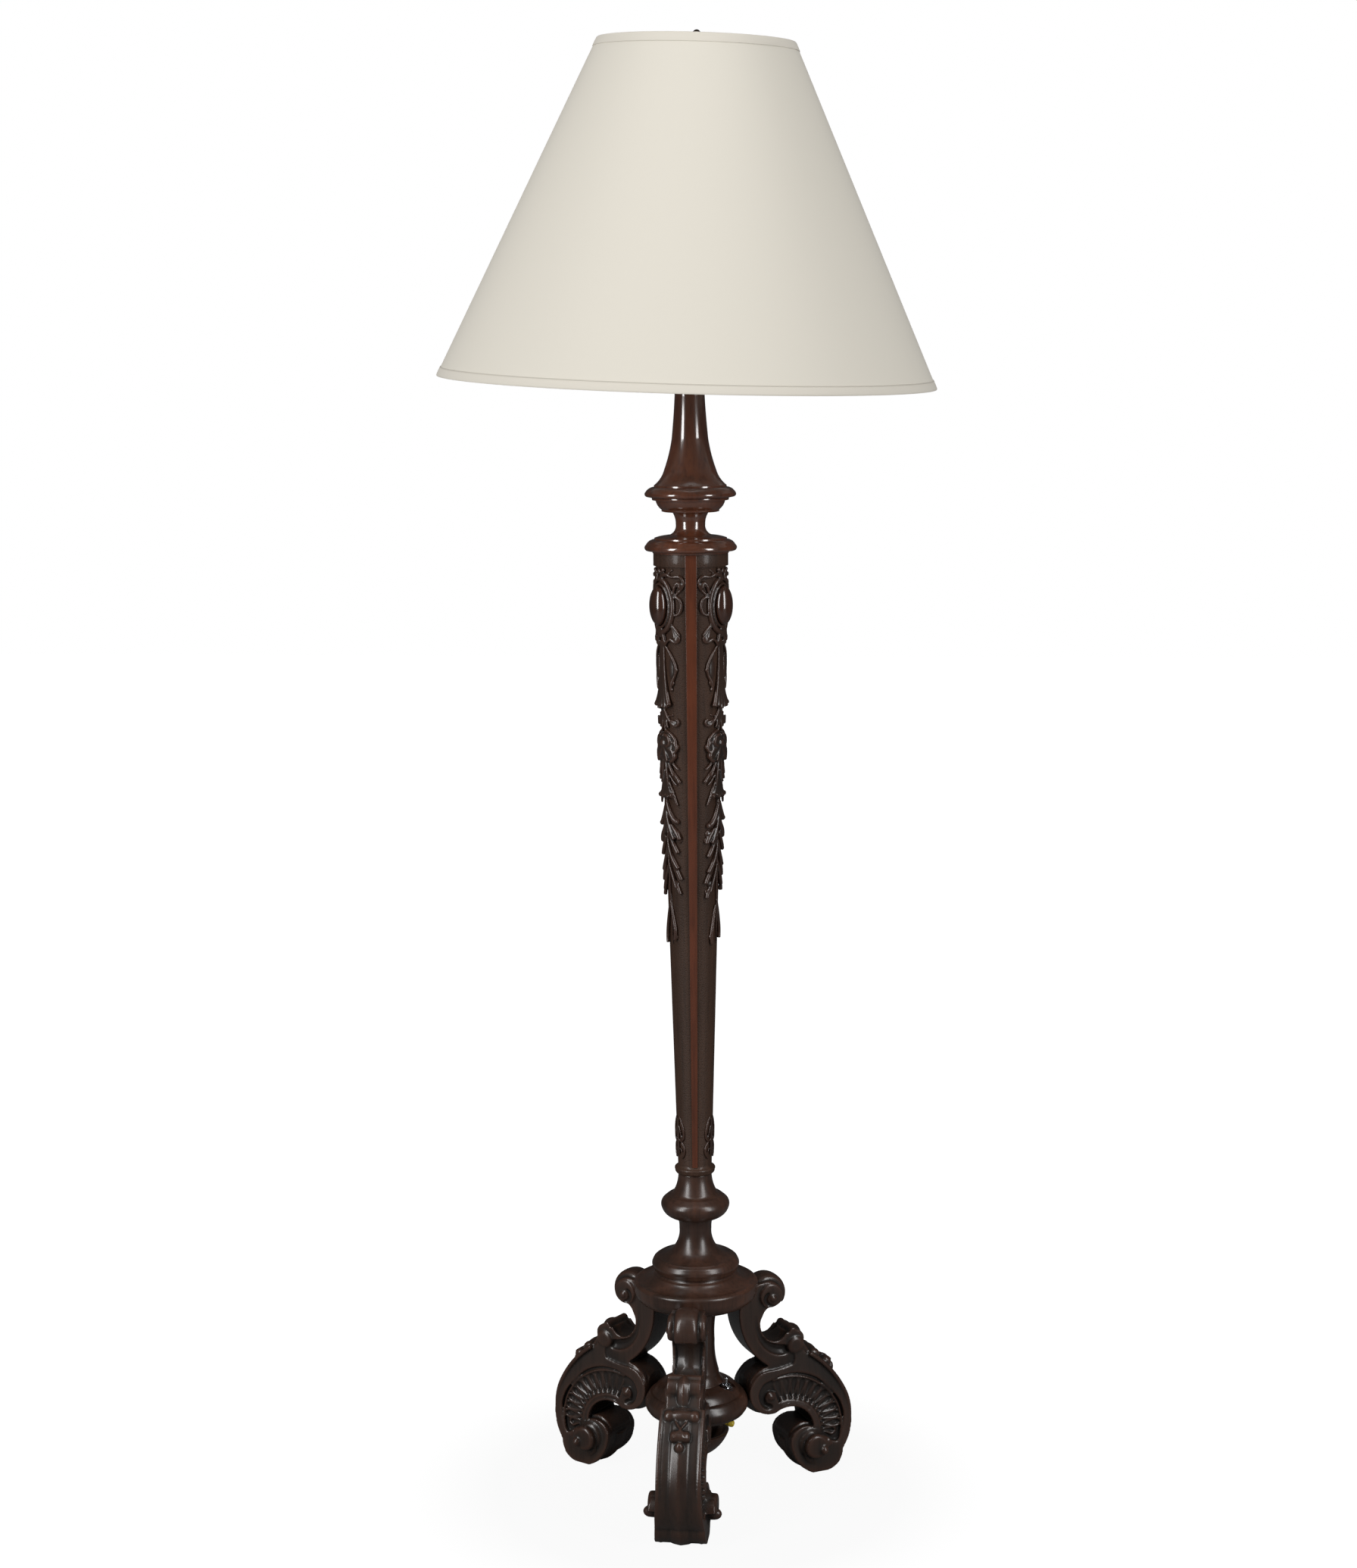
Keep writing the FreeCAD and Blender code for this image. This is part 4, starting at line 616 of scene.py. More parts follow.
def turned_cup():
    """The cup at the pipe's lower end."""
    bottom = levels("pendant_cup")[0]
    low, middle, rim = (bottom + rise * MM for rise in (CUP_FLOOR, CUP_HEIGHT / 2.0, CUP_HEIGHT))
    inner = (CUP_RADIUS - CUP_WALL) * MM
    outline = [(BORE, bottom)] + shares(CUP_RADIUS * MM, CUP_HEIGHT * MM, CUP_SHARES, bottom)
    outline += [(inner, rim), (CUP_SHARES[0][0] * CUP_RADIUS * MM, low, inner * 0.74, middle), (BORE, low)]
    piece = lathed("turned_cup", outline, closed=True)
    return finished(piece, "stand", "dark_wood", TURNED_WOOD, "pendant_cup")


def hollow_disc():
    """The disc between the legs: hollow below, with a shallow well for the switch."""
    bottom, top = levels("lower_disc")
    shoulder = bottom + (top - bottom) * DISC_SHOULDER_SHARE
    ceiling = shoulder - DISC_WEB * MM
    wall = (DISC_RADIUS - DISC_WALL) * MM
    outline = [(BORE, top), (BORE, ceiling), (wall * 0.94, ceiling), (wall, bottom)]
    outline += shares(DISC_RADIUS * MM, top - bottom, DISC_SHARES, bottom)
    piece = lathed("turned_disc", outline, closed=True)
    for radius, low in ((SWITCH_WELL, shoulder - WELL_DEPTH * MM), (SWITCH_HOLE, bottom)):
        let_go()
        place = (*mm(*SWITCH_PLACE), low + DRILL * MM / 2.0)
        drill = {"vertices": 48, "radius": radius * MM, "depth": DRILL * MM}
        bpy.ops.mesh.primitive_cylinder_add(**drill, location=place)
        carve(piece, named("well_cutter"))
    eased(piece, FINE_EASE)
    return finished(piece, "stand", "dark_wood", TURNED_WOOD, "lower_disc")


turned_cup()
hollow_disc()
turned("turned_post", "centre_post", 37.0, POST_SHARES)
turned("turned_cap", "base_cap", CAP_RADIUS, CAP_SHARES)
turned("turned_reel", "lower_reel", 51.0, REEL_SHARES)
turned("turned_knop", "lower_knop", 40.3, KNOP_SHARES)
turned("turned_spool", "neck_spool", 51.5, SPOOL_SHARES, UPPER_WOOD, ease=FINE_EASE)
turned("turned_neck", "neck_vase", 51.0, NECK_SHARES, UPPER_WOOD, ease=FINE_EASE)


# Carved legs, made once with the leg pointing along X. Side places are in millimetres: out from the post, up

LEG_DIRECTIONS = {"front": -91.1, "right": 28.7, "left": 150.7}
REACH, RISE = 193.0 * MM, 251.0 * MM
STRAP_SHARES = [
    (0.456, 0.554, 0.307, 0.430), (0.249, 0.845, 0.290, 0.697), (0.385, 0.972, 0.290, 0.925),
    (0.432, 0.976), (0.529, 0.927, 0.497, 0.965), (0.487, 0.855, 0.538, 0.880), (0.461, 0.853),
    (0.420, 0.755, 0.410, 0.817), (0.565, 0.715, 0.485, 0.675), (0.590, 0.705),
    (0.640, 0.717, 0.618, 0.730), (0.684, 0.650, 0.681, 0.695), (0.725, 0.602),
    (0.964, 0.390, 0.870, 0.500), (0.938, 0.100, 1.002, 0.239), (0.835, 0.000, 0.912, 0.038), (0.725, 0.000),
    (0.580, 0.159, 0.632, 0.058), (0.632, 0.235, 0.591, 0.207), (0.736, 0.239, 0.690, 0.247),
    (0.487, 0.339, 0.684, 0.329),
]
SCROLL_SHARES = [
    (0.456, 0.554, 0.307, 0.430), (0.606, 0.578, 0.525, 0.562), (0.614, 0.640, 0.622, 0.606), (0.593, 0.662),
    (0.635, 0.687, 0.604, 0.692), (0.680, 0.650, 0.672, 0.675), (0.725, 0.602),
] + STRAP_SHARES[13:]
FRONT_EDGE = slice(12, 18)
DOME_SHARES = [
    (0.300, 0.880), (0.300, 1.020), (0.620, 1.020), (0.620, 0.905), (0.530, 0.856, 0.585, 0.872),
    (0.461, 0.853),
]
FAN_FIELD_SHARES = [
    (0.446, 0.502, 0.658, 0.528), (0.415, 0.371, 0.370, 0.422), (0.456, 0.373), (0.438, 0.450, 0.412, 0.414),
    (0.482, 0.442), (0.500, 0.388), (0.785, 0.225, 0.708, 0.361), (0.902, 0.145, 0.829, 0.169),
    (0.850, 0.430, 0.951, 0.263),
]
STRAP_HALF, LIP_HALF, DOME_HALF = 19.4, 17.0, 13.0
SCROLL_HALF, SCROLL_NARROWING, FACE_NARROWING, FIELD_DEPTH = 30.0, 0.33, 0.05, 6.2
VOLUTE_EYE, OPENING, FOOT_EYE, HEAD_EYE = (86.5, 106.5), (111.2, 60.0), (146.0, 30.5), (90.5, 225.0)
HEAD, DOME, C_CURVE, NEAR_KNEE = (89.0, 228.5), (89.0, 227.0), (95.0, 192.0), (109.0, 166.5)

# Rolls across the leg: (radius, place across) for the near half, then the centres of those on the knee and foot

HEAD_ROLL = [
    (0, 22.4), (9.0, 22.4), (13.4, 22.2), (14.8, 20.8), (15.4, 18.0), (14.8, 15.4), (12.4, 14.0), (12.4, 0),
]
HEAD_DOME = [(0, 13.6), (19.0, 13.6), (21.6, 12.6), (23.4, 10.0), (24.4, 6.0), (24.7, 0)]
C_CUTTER = [
    (0, 22.0), (20.0, 22.0), (20.0, 18.0), (22.4, 16.8), (23.0, 14.5), (21.6, 10.0), (20.0, 5.0), (19.5, 0),
]
NEAR_ROLL = [(0, 9.5), (6.0, 9.2), (7.4, 7.5), (7.9, 0)]
KNEE_ROLL = [(0, 9.6), (8.6, 9.4), (11.2, 7.8), (12.4, 4.0), (12.8, 0)]
KNEE_BEADS = [
    (0, 22.0), (7.4, 22.0), (10.2, 20.8), (11.6, 18.0), (11.9, 15.0), (11.0, 11.6), (9.0, 10.2), (0, 10.2),
]
UPPER_LEAF = [(0, 20.0), (4.4, 20.0), (6.6, 18.2), (7.4, 14.5), (6.7, 10.5), (7.6, 6.0), (8.0, 0)]
LOWER_LEAF = [(0, 11.5), (4.0, 11.2), (6.2, 9.0), (6.7, 5.0), (6.9, 0)]
VOLUTE_ROLL = [(0, 20.0), (25.0, 20.0), (27.0, 18.0), (30.0, 11.0), (31.0, 0)]
FOOT_ROLL = [(0, 31.0), (15.0, 31.0), (17.4, 28.0), (18.2, 18.0), (18.6, 0)]
FOOT_DRUM = [(0, 40.0), (12.0, 40.0), (14.0, 39.2), (14.8, 37.4), (15.2, 24.0), (15.2, 0)]
LEG_ROLLS = {
    "knee_roll": ((121.8, 168.3), KNEE_ROLL),
    "knee_beads": ((121.5, 161.5), KNEE_BEADS),
    "volute_roll": ((86.0, 108.5), VOLUTE_ROLL),
    "foot_roll": ((139.0, 37.5), FOOT_ROLL),
    "foot_drum": ((141.5, 36.0), FOOT_DRUM),
    "upper_leaf": ((147.5, 144.5), UPPER_LEAF),
    "lower_leaf": ((168.0, 129.0), LOWER_LEAF),
}


def looped(table):
    """A closed outline from a leg's shares."""
    path = shares(REACH, RISE, table)
    return traced(path + [path[0]], 1.5 * MM)[:-1]


def plate(name, outline, low, high):
    """A plate sawn to an outline in the leg's side plane, between two places across its thickness."""
    piece = drawn_line(name, outline, closed=True)
    bpy.ops.mesh.edge_face_add()
    bpy.ops.transform.translate(value=mm(0, low, 0))
    bpy.ops.mesh.extrude_region_move(TRANSFORM_OT_translate={"value": mm(0, high - low, 0)})
    shell()
    return piece


def roll(name, centre, outline, steps=40):
    """A turned roll across the leg, from (radius, place across) in millimetres for its near half."""
    half = mm_points(outline)
    piece = drawn_line(name, half + [(radius, -across) for radius, across in half[::-1]])
    bpy.ops.mesh.spin(steps=steps, angle=math.tau, center=(0, 0, 0), axis=(0, 0, 1))
    shell(WELD)
    piece.rotation_euler = (math.radians(90.0), 0, 0)
    piece.location = mm(centre[0], 0, centre[1])
    settle(piece)
    return piece


def strip(name, points, radius, swell=None, smooth=True):
    """A round strip through points in millimetres, thicker or thinner along its way by each swell share."""
    curve = bpy.data.curves.new(name, "CURVE")
    curve.dimensions = "3D"
    curve.bevel_depth = radius * MM
    curve.bevel_resolution = 2
    curve.use_fill_caps = True
    curve.resolution_u = 4
    spline = curve.splines.new("NURBS" if smooth else "POLY")
    spline.points.add(len(points) - 1)
    for point, spot, share in zip(spline.points, points, swell or [1.0] * len(points)):
        point.co = (*mm(*spot), 1.0)
        point.radius = share
    if smooth:
        spline.order_u = min(4, len(points))
        spline.use_endpoint_u = True
    piece = bpy.data.objects.new(name, curve)
    bpy.context.scene.collection.objects.link(piece)
    take(piece)
    bpy.ops.object.convert(target="MESH")
    return named(name)


def ball(name, spot, size, stretch=(1.0, 1.0, 1.0)):
    """A rounded lump at a spot in millimetres."""
    let_go()
    bpy.ops.mesh.primitive_ico_sphere_add(subdivisions=3, radius=size * MM, location=mm(*spot))
    piece = named(name)
    piece.scale = stretch
    settle(piece)
    return piece


def beside(points, out):
    """Side places moved out to a place across the leg."""
    return [(r, out, z) for r, z in points]


def ring_points(centre, radius, start, end, count):
    """Places on part of a circle, between two directions in degrees."""
    turns = [math.radians(start + (end - start) * i / (count - 1)) for i in range(count)]
    return [(centre[0] + math.cos(turn) * radius, centre[1] + math.sin(turn) * radius) for turn in turns]


def narrowed(piece):
    """Thin the scroll from the foot to the knee, and a little towards its outer face."""
    take(piece)
    for axis, factor in (("Z", -SCROLL_NARROWING), ("X", -FACE_NARROWING)):
        lean = piece.modifiers.new("narrowed", "SIMPLE_DEFORM")
        lean.deform_method = "TAPER"
        lean.deform_axis = axis
        lean.lock_x = axis == "Z"
        lean.lock_y = axis == "X"
        lean.factor = factor
        bpy.ops.object.modifier_apply(modifier=lean.name)
    return piece


def softened(piece, voxel, rounds=3):
    """Let the shells of a carved piece grow into one skin, as a gouge and polish leave it."""
    take(piece)
    skin = piece.modifiers.new("one_skin", "REMESH")
    skin.mode = "VOXEL"
    skin.voxel_size = voxel
    bpy.ops.object.modifier_apply(modifier=skin.name)
    rub = piece.modifiers.new("rubbed", "SMOOTH")
    rub.factor = 0.5
    rub.iterations = rounds
    bpy.ops.object.modifier_apply(modifier=rub.name)
    bpy.ops.object.shade_smooth()
    mark_hollows(piece)
    return piece


# A fine and a broad look for hollows: (rounds of slackening, the depth that counts as full, weight)

HOLLOW_SCALES = ((12, 1.0 * MM, 0.6), (110, 4.2 * MM, 0.6))


def mark_hollows(piece):
    """Keep how deep each point lies in a hollow (over 0) or stands on a ridge (under 0), fine and broad."""
    mesh = piece.data
    count = len(mesh.vertices)
    spots = np.zeros(count * 3)
    mesh.vertices.foreach_get("co", spots)
    spots = spots.reshape(-1, 3)
    ends = np.zeros(len(mesh.edges) * 2, dtype=np.int64)
    mesh.edges.foreach_get("vertices", ends)
    first, second = ends.reshape(-1, 2).T
    shared = np.maximum(np.bincount(first, minlength=count) + np.bincount(second, minlength=count), 1)
    normals = np.zeros(count * 3)
    mesh.vertices.foreach_get("normal", normals)
    normals = normals.reshape(-1, 3)
    level = np.zeros(count)
    slack = spots.copy()
    done = 0
    for rounds, depth, weight in HOLLOW_SCALES:
        for _ in range(rounds - done):
            ahead = [np.bincount(first, slack[second, axis], count) for axis in range(3)]
            behind = [np.bincount(second, slack[first, axis], count) for axis in range(3)]
            slack = (np.stack(ahead, axis=1) + np.stack(behind, axis=1)) / shared[:, None]
        done = rounds
        level += weight * np.clip(((slack - spots) * normals).sum(1) / depth, -1.0, 1.0)
    kept = mesh.attributes.new("hollow", "FLOAT", "POINT")
    kept.data.foreach_set("value", np.clip(level, -1.0, 1.0).astype(np.float32))


def fan_spot(turn, out, aside=0.0):
    """A place on the fan, at a direction, a distance and a step aside from the opening's middle."""
    way = math.radians(turn)
    across = OPENING[0] + math.cos(way) * out - math.sin(way) * aside
    return (across, OPENING[1] + math.sin(way) * out + math.cos(way) * aside)


# The fan round the opening: turns in degrees, and its lines as (radius, depth under the face, size)

FLUTES, FLUTE_STEP, FIRST_FLUTE = 12, 10.2, 103.0
FLUTE_END, LAST_FLUTE_END, FLUTE_SIZE = 66.0, 60.0, 1.5
FAN_FROM, FAN_TO = 108.0, -18.0
FAN_LINES = ((37.6, 0.9, 1.5), (32.4, 0.6, 1.7), (69.2, 2.2, 1.3))
GROOVE_RADIUS, GROOVE_TO, GROOVE_SIZE = 35.0, -16.0, 0.9


def flute(turn, level, side, far):
    """One flute of the fan: two edges that meet in a round end, a spine and a small lump at its foot."""
    pieces = []
    for aside in (-1.0, 1.0):
        edge = [(43.0, 1.0), (49.0, 2.3), (57.0, 4.2), (far - 3.0, 5.4), (far, 4.2), (far + 2.4, 0.6)]
        edge = beside([fan_spot(turn, out, away * aside) for out, away in edge], level + 1.8 * side)
        pieces.append(strip("flute_edge", edge, FLUTE_SIZE, [0.7, 0.9, 1.1, 1.25, 1.1, 0.9]))
    spine = beside([fan_spot(turn, out) for out in (44.0, 50.0, 57.0, far - 5.0)], level + 0.3 * side)
    pieces.append(strip("flute_spine", spine, FLUTE_SIZE, [0.5, 0.9, 1.0, 0.3]))
    foot = fan_spot(turn, 41.6)
    pieces.append(ball("flute_foot", (foot[0], level + 2.6 * side, foot[1]), 2.9, (1.0, 0.8, 1.0)))
    return pieces


def fan_side(side):
    """The carving on one side of the lower scroll."""
    level = (SCROLL_HALF - FIELD_DEPTH) * side
    face = SCROLL_HALF * side
    pieces = []
    for i in range(FLUTES):
        far = FLUTE_END if i < FLUTES - 1 else LAST_FLUTE_END
        pieces += flute(FIRST_FLUTE - FLUTE_STEP * i, level, side, far)
    for radius, sink, size in FAN_LINES:
        line = ring_points(OPENING, radius, FAN_FROM, FAN_TO, 30)
        pieces.append(strip("fan_line", beside(line, face - sink * side), size))
    pieces.append(ball("volute_eye", (VOLUTE_EYE[0], face - 1.5 * side, VOLUTE_EYE[1]), 5.2, (1.0, 0.9, 1.0)))
    return pieces


WHORL_STEPS, WHORL_FROM, WHORL_SWEEP, WHORL_AHEAD, WHORL_BACK = 14, -40.0, 300.0, 6.0, 24.0
WHORL_OUTER, WHORL_SHRINK, WHORL_INNER = 19.5, 1.5, 8.6
WHORL_FOOT, WHORL_LOW, WHORL_GROWTH, WHORL_BUTTON = 12.0, 27.0, 11.5, 37.0


def foot_whorl(side):
    """The band that winds out round the foot's eye, in short lengths that each stand a little further out."""
    pieces = []
    for i in range(WHORL_STEPS):
        turn = WHORL_FROM - WHORL_SWEEP * i / WHORL_STEPS
        first, last = turn + WHORL_AHEAD, turn - WHORL_BACK
        share = i / (WHORL_STEPS - 1)
        outer = ring_points(FOOT_EYE, WHORL_OUTER - WHORL_SHRINK * share, first, last, 5)
        inner = ring_points(FOOT_EYE, WHORL_INNER, last, first, 5)
        low, high = sorted((WHORL_FOOT * side, (WHORL_LOW + WHORL_GROWTH * share) * side))
        pieces.append(plate("foot_whorl", mm_points(outer + inner), low, high))
    button = (FOOT_EYE[0] + 4.0, WHORL_BUTTON * side, FOOT_EYE[1] + 0.5)
    pieces.append(ball("foot_button", button, 6.2, (0.95, 1.35, 1.1)))
    return pieces


def side_cuts(side):
    """Cutters for the hollows on one side of the scroll."""
    face = SCROLL_HALF * side
    low, high = sorted(((SCROLL_HALF - FIELD_DEPTH) * side, (SCROLL_HALF + 8.0) * side))
    cutters = [plate("fan_field", looped(FAN_FIELD_SHARES), low, high)]
    comma = ring_points((86.5, 105.0), 10.8, 118.0, 282.0, 12)
    cutters.append(strip("volute_comma", beside(comma, face), 4.3, [0.6] + [1.0] * 9 + [0.9, 0.5]))
    groove = ring_points(OPENING, GROOVE_RADIUS, FAN_FROM, GROOVE_TO, 30)
    cutters.append(strip("border_groove", beside(groove, face), GROOVE_SIZE))
    return cutters


COVE = [
    (69.5, 207.0), (69.5, 192.0), (74.0, 179.0), (83.0, 167.0), (93.0, 160.5), (103.0, 157.5), (111.0, 157.5),
    (114.0, 163.0),
]
KNEE_COMMA = [(108.0, 152.0), (115.0, 156.5), (113.5, 164.0)]
C_LIP = [
    (75.0, 205.0), (73.5, 193.0), (77.0, 179.5), (85.5, 171.0), (95.0, 167.5), (103.0, 167.5), (109.5, 171.0),
]


def head_side(side):
    """Cutters for one side of the head and the C-curve."""
    cove = beside(COVE, (STRAP_HALF + 2.2) * side)
    comma = beside(KNEE_COMMA, (STRAP_HALF + 0.5) * side)
    eye = beside(ring_points((89.5, 224.5), 8.6, 112.0, 285.0, 10), 22.5 * side)
    return [
        strip("cove", cove, 5.0, [0.50, 0.70, 0.95, 1.20, 1.45, 1.60, 1.45, 0.80]),
        strip("knee_comma", comma, 3.6, [0.4, 1.0, 0.7]),
        strip("head_comma", eye, 3.1, [0.5, 0.9] + [1.0] * 6 + [0.8, 0.4]),
    ]


def scroll_part():
    """The lower scroll with its rim, sunk fans and volutes, thinner towards the knee."""
    scroll = plate("scroll", looped(SCROLL_SHARES), -SCROLL_HALF, SCROLL_HALF)
    pieces = [scroll]
    for side in (1.0, -1.0):
        for cutter in side_cuts(side):
            carve(scroll, cutter)
        pieces += fan_side(side)
    return narrowed(joined("scroll", pieces))


def strap_part():
    """The upper strap: C-curve, lips, head dome and shoulders."""
    strap = plate("strap", looped(STRAP_SHARES), -STRAP_HALF, STRAP_HALF)
    head = roll("head_roll", HEAD, HEAD_ROLL)
    for side in (1.0, -1.0):
        cove, knee, eye = head_side(side)
        carve(strap, cove)
        carve(strap, knee)
        carve(head, eye)
    carve(strap, roll("c_cutter", C_CURVE, C_CUTTER))
    dome = roll("head_dome", DOME, HEAD_DOME)
    carve(dome, plate("dome_limit", looped(DOME_SHARES), -DOME_HALF, DOME_HALF), "INTERSECT")
    pieces = [strap, head, dome]
    for side in (1.0, -1.0):
        pieces.append(strip("c_lip", beside(C_LIP, LIP_HALF * side), 1.5))
        pieces.append(ball("head_eye", (HEAD_EYE[0], 21.4 * side, HEAD_EYE[1]), 4.7, (1.0, 0.8, 1.0)))
    pieces.append(roll("near_roll", NEAR_KNEE, NEAR_ROLL))
    return joined("strap", pieces)


# Small carvings. A band on the outer face is its place across, size, depth under the face and stretch across.

FACE_BANDS = ((0.0, 6.5, 3.4, 2.1), (-23.4, 2.8, 1.9, 1.0), (23.4, 2.8, 1.9, 1.0))
CROSS = [(156.0, 6.5, 142.5), (163.0, 1.5, 138.0), (168.0, -1.5, 136.5), (175.5, -6.5, 131.0)]
KNEE_ARC = [
    (110.0, 18.5, 168.5), (112.0, 12.5, 171.0), (113.0, 9.5, 175.0), (114.0, 5.0, 178.5), (114.5, 0.0, 180.0),
]
KNEE_TONGUE = [
    (119.0, 0.0, 176.0), (126.0, 0.0, 174.5), (130.5, 0.0, 168.0), (131.5, 0.0, 158.0), (133.0, 0.0, 149.0),
]


def front_face():
    """The rounded band down the outer face and the beads at its edges."""
    line = [(x / MM, z / MM) for x, z in traced(shares(REACH, RISE, STRAP_SHARES[FRONT_EDGE]), 3.0 * MM)]
    pieces = []
    for place, size, sink, wide in FACE_BANDS:
        spots = []
        for j, (r, z) in enumerate(line):
            near, far = line[max(j - 1, 0)], line[min(j + 1, len(line) - 1)]
            run = math.hypot(far[0] - near[0], far[1] - near[1])
            out = ((near[1] - far[1]) / run, (far[0] - near[0]) / run)
            spots.append((r - out[0] * sink, place, z - out[1] * sink))
        band = strip("face_band", spots, size, smooth=False)
        band.scale = (1.0, wide, 1.0)
        settle(band)
        pieces.append(band)
    return pieces


def carvings():
    """The crossed strokes and the bead on the face, and the arcs and the tongue at the knee."""
    pieces = []
    for side in (1.0, -1.0):
        cross = [(r, across * side, z) for r, across, z in CROSS]
        pieces.append(strip("cross", cross, 1.4, [0.8, 1.0, 1.0, 0.7]))
        for out, high in ((0.0, 0.0), (2.4, -3.4)):
            arc = [(r + out, across * side, z + high) for r, across, z in KNEE_ARC]
            pieces.append(strip("arc", arc, 1.3))
    pieces.append(ball("bead", (177.0, 0, 119.5), 5.4, (0.7, 0.9, 1.2)))
    pieces.append(strip("knee_tongue", KNEE_TONGUE, 8.6, [0.9, 1.0, 1.0, 0.95, 0.9]))
    return pieces


# What the leg is cut to: room round the cap and the disc, and the level under the feet

SEAT_ROOM, SEAT_LOW, SEAT_OVER, FOOT_LEVEL = 0.3, 60.0, 0.5 * MM, 0.15


def seat_cutter():
    """The round seats of the cap and of the lower disc, and the level that the feet stand on."""
    disc_top = levels("lower_disc")[1] / MM
    cap_bottom, cap_top = levels("base_cap")
    out, far, deep = DISC_RADIUS + SEAT_ROOM, 300.0, -40.0
    rims = [("disc_seat", [(0, SEAT_LOW), (out, SEAT_LOW), (out, disc_top), (0, disc_top)])]
    rims.append(("foot_seat", [(0, deep), (far, deep), (far, FOOT_LEVEL), (0, FOOT_LEVEL)]))
    pieces = [lathed(name, mm_points(path), steps=96) for name, path in rims]
    curve = traced(shares(CAP_RADIUS * MM, cap_top - cap_bottom, CAP_SHARES[:2], cap_bottom), 2 * MM)
    head = [((CAP_RADIUS + SEAT_ROOM) * MM, cap_top + SEAT_OVER), (0, cap_top + SEAT_OVER)]
    return pieces + [lathed("cap_seat", [(0, cap_bottom)] + curve + head, steps=96)]


def scroll_leg():
    """One leg: strap, scroll, rolls, whorls, leaves and the moulded front, as one skin."""
    pieces = [strap_part(), scroll_part()]
    pieces += [roll(name, centre, outline) for name, (centre, outline) in LEG_ROLLS.items()]
    pieces += foot_whorl(1.0) + foot_whorl(-1.0) + front_face() + carvings()
    return softened(joined("scroll_leg", pieces), LEG_VOXEL)


def legs():
    """Three copies of one leg, let into the cap and the disc."""
    source = scroll_leg()
    for cutter in seat_cutter():
        carve(source, cutter)
    for name, direction in LEG_DIRECTIONS.items():
        piece = turned_copy(source, "carved_leg_" + name, direction)
        finished(piece, "stand", "dark_wood", CARVED_WOOD, "leg_" + name)
    bpy.data.objects.remove(source)


legs()


# Carved shaft: smooth bands over stippled panels. Places on a panel are a turn from its middle in degrees and
# a height in millimetres.

SHAFT_TURN = 5.4
PANEL_TURNS = {"right": 60.0, "back": 180.0, "left": -60.0}
SHAFT_FOOT, SHAFT_HEAD = (level / MM for level in levels("carved_shaft"))
FOOT_RADIUS, FOOT_HEIGHT, COLLAR_HEIGHT = 23.8, 11.0, 14.0
FOOT_SHARES = [(0.82, 0.0), (0.98, 0.42, 0.95, 0.15), (0.90, 0.78, 1.0, 0.62)]
GROUND_FOOT, GROUND_HEAD = SHAFT_FOOT + FOOT_HEIGHT, SHAFT_HEAD - COLLAR_HEIGHT
GROUND_NARROW, GROUND_WIDE, COLLAR = 19.8, 39.9, 42.5
BAND_NARROW, BAND_WIDE, BAND_COLLAR, BAND_DEPTH, BAND_ARC = 20.6, 42.6, 42.65, 4.0, 17.5


def ground_radius(height):
    """The panels' ground, in millimetres from the post's axis."""
    share = (height - GROUND_FOOT) / (GROUND_HEAD - GROUND_FOOT)
    return GROUND_NARROW + (GROUND_WIDE - GROUND_NARROW) * share


def on_panel(turn, height, lift=0.0):
    """A spot on the panel that faces along X."""
    out = ground_radius(height) + lift
    way = math.radians(turn)
    return (math.cos(way) * out, math.sin(way) * out, height)


def stroke(side, places, size, swell=None, lift=0.5, rise=0.0):
    """One gouged strand along (turn, height) places, raised towards its tip by rise."""
    last = len(places) - 1
    lifts = [lift * size + rise * (i / last) ** 2 for i in range(last + 1)]
    spots = [on_panel(turn * side, height, up) for (turn, height), up in zip(places, lifts)]
    if swell is None:
        swell = [0.55 + 0.65 * math.sin(math.pi * (0.15 + 0.72 * i / last)) for i in range(last + 1)]
    return strip("strand", spots, size, swell)


def strokes(side, rows):
    """Strands from rows of (size, lift, rise, places) with or without a swell."""
    return [
        stroke(side, places, size, *swell, lift=lift, rise=rise)
        for size, lift, rise, places, *swell in rows
    ]


def spray(side, root, tips, size, bow=3.0, rise=1.5):
    """Strands that leave one root and bend out to their own tips."""
    pieces = []
    for tip in tips:
        middle = ((root[0] + tip[0]) / 2.0 - bow * 0.5, (root[1] + tip[1]) / 2.0 - bow)
        late = (tip[0] - (tip[0] - root[0]) * 0.18, tip[1] + (root[1] - tip[1]) * 0.10 - bow * 0.3)
        pieces.append(stroke(side, [root, middle, late, tip], size, [0.6, 1.0, 1.15, 0.55], rise=rise))
    return pieces


def lump(side, turn, height, size, flat=0.6, tall=1.0, lift=0.0):
    """A rounded swelling on a panel."""
    piece = ball("lump", on_panel(0.0, height, lift), size, (flat, 1.0, tall))
    piece.rotation_euler = (0, 0, math.radians(turn * side))
    settle(piece)
    return piece


def lumps(side, rows):
    """Swellings from rows of (turn, height, size, flat, tall, lift)."""
    return [lump(side, *row) for row in rows]


def fringe(top, low, low_half, flare, high_half=6.0, count=6, size=2.1):
    """A fluted drape: ribs that hang together and flare out at the foot."""
    pieces = []
    length, spread = top - low, low_half - high_half
    for i in range(count):
        share = 2.0 * i / (count - 1) - 1.0
        foot = low + abs(share) * length * 0.05 + (i % 2) * 1.5
        spots = [
            on_panel(share * high_half, top, 0.6),
            on_panel(share * high_half, top - length * 0.40, 1.2),
            on_panel(share * (high_half + spread * 0.25), top - length * 0.68, 1.6),
            on_panel(share * (high_half + spread * 0.66), low + length * 0.12, flare * 0.6),
            on_panel(share * low_half, foot, flare),
        ]
        pieces.append(strip("fold", spots, size, [0.7, 0.8, 1.0, 1.35, 1.45]))
    return pieces


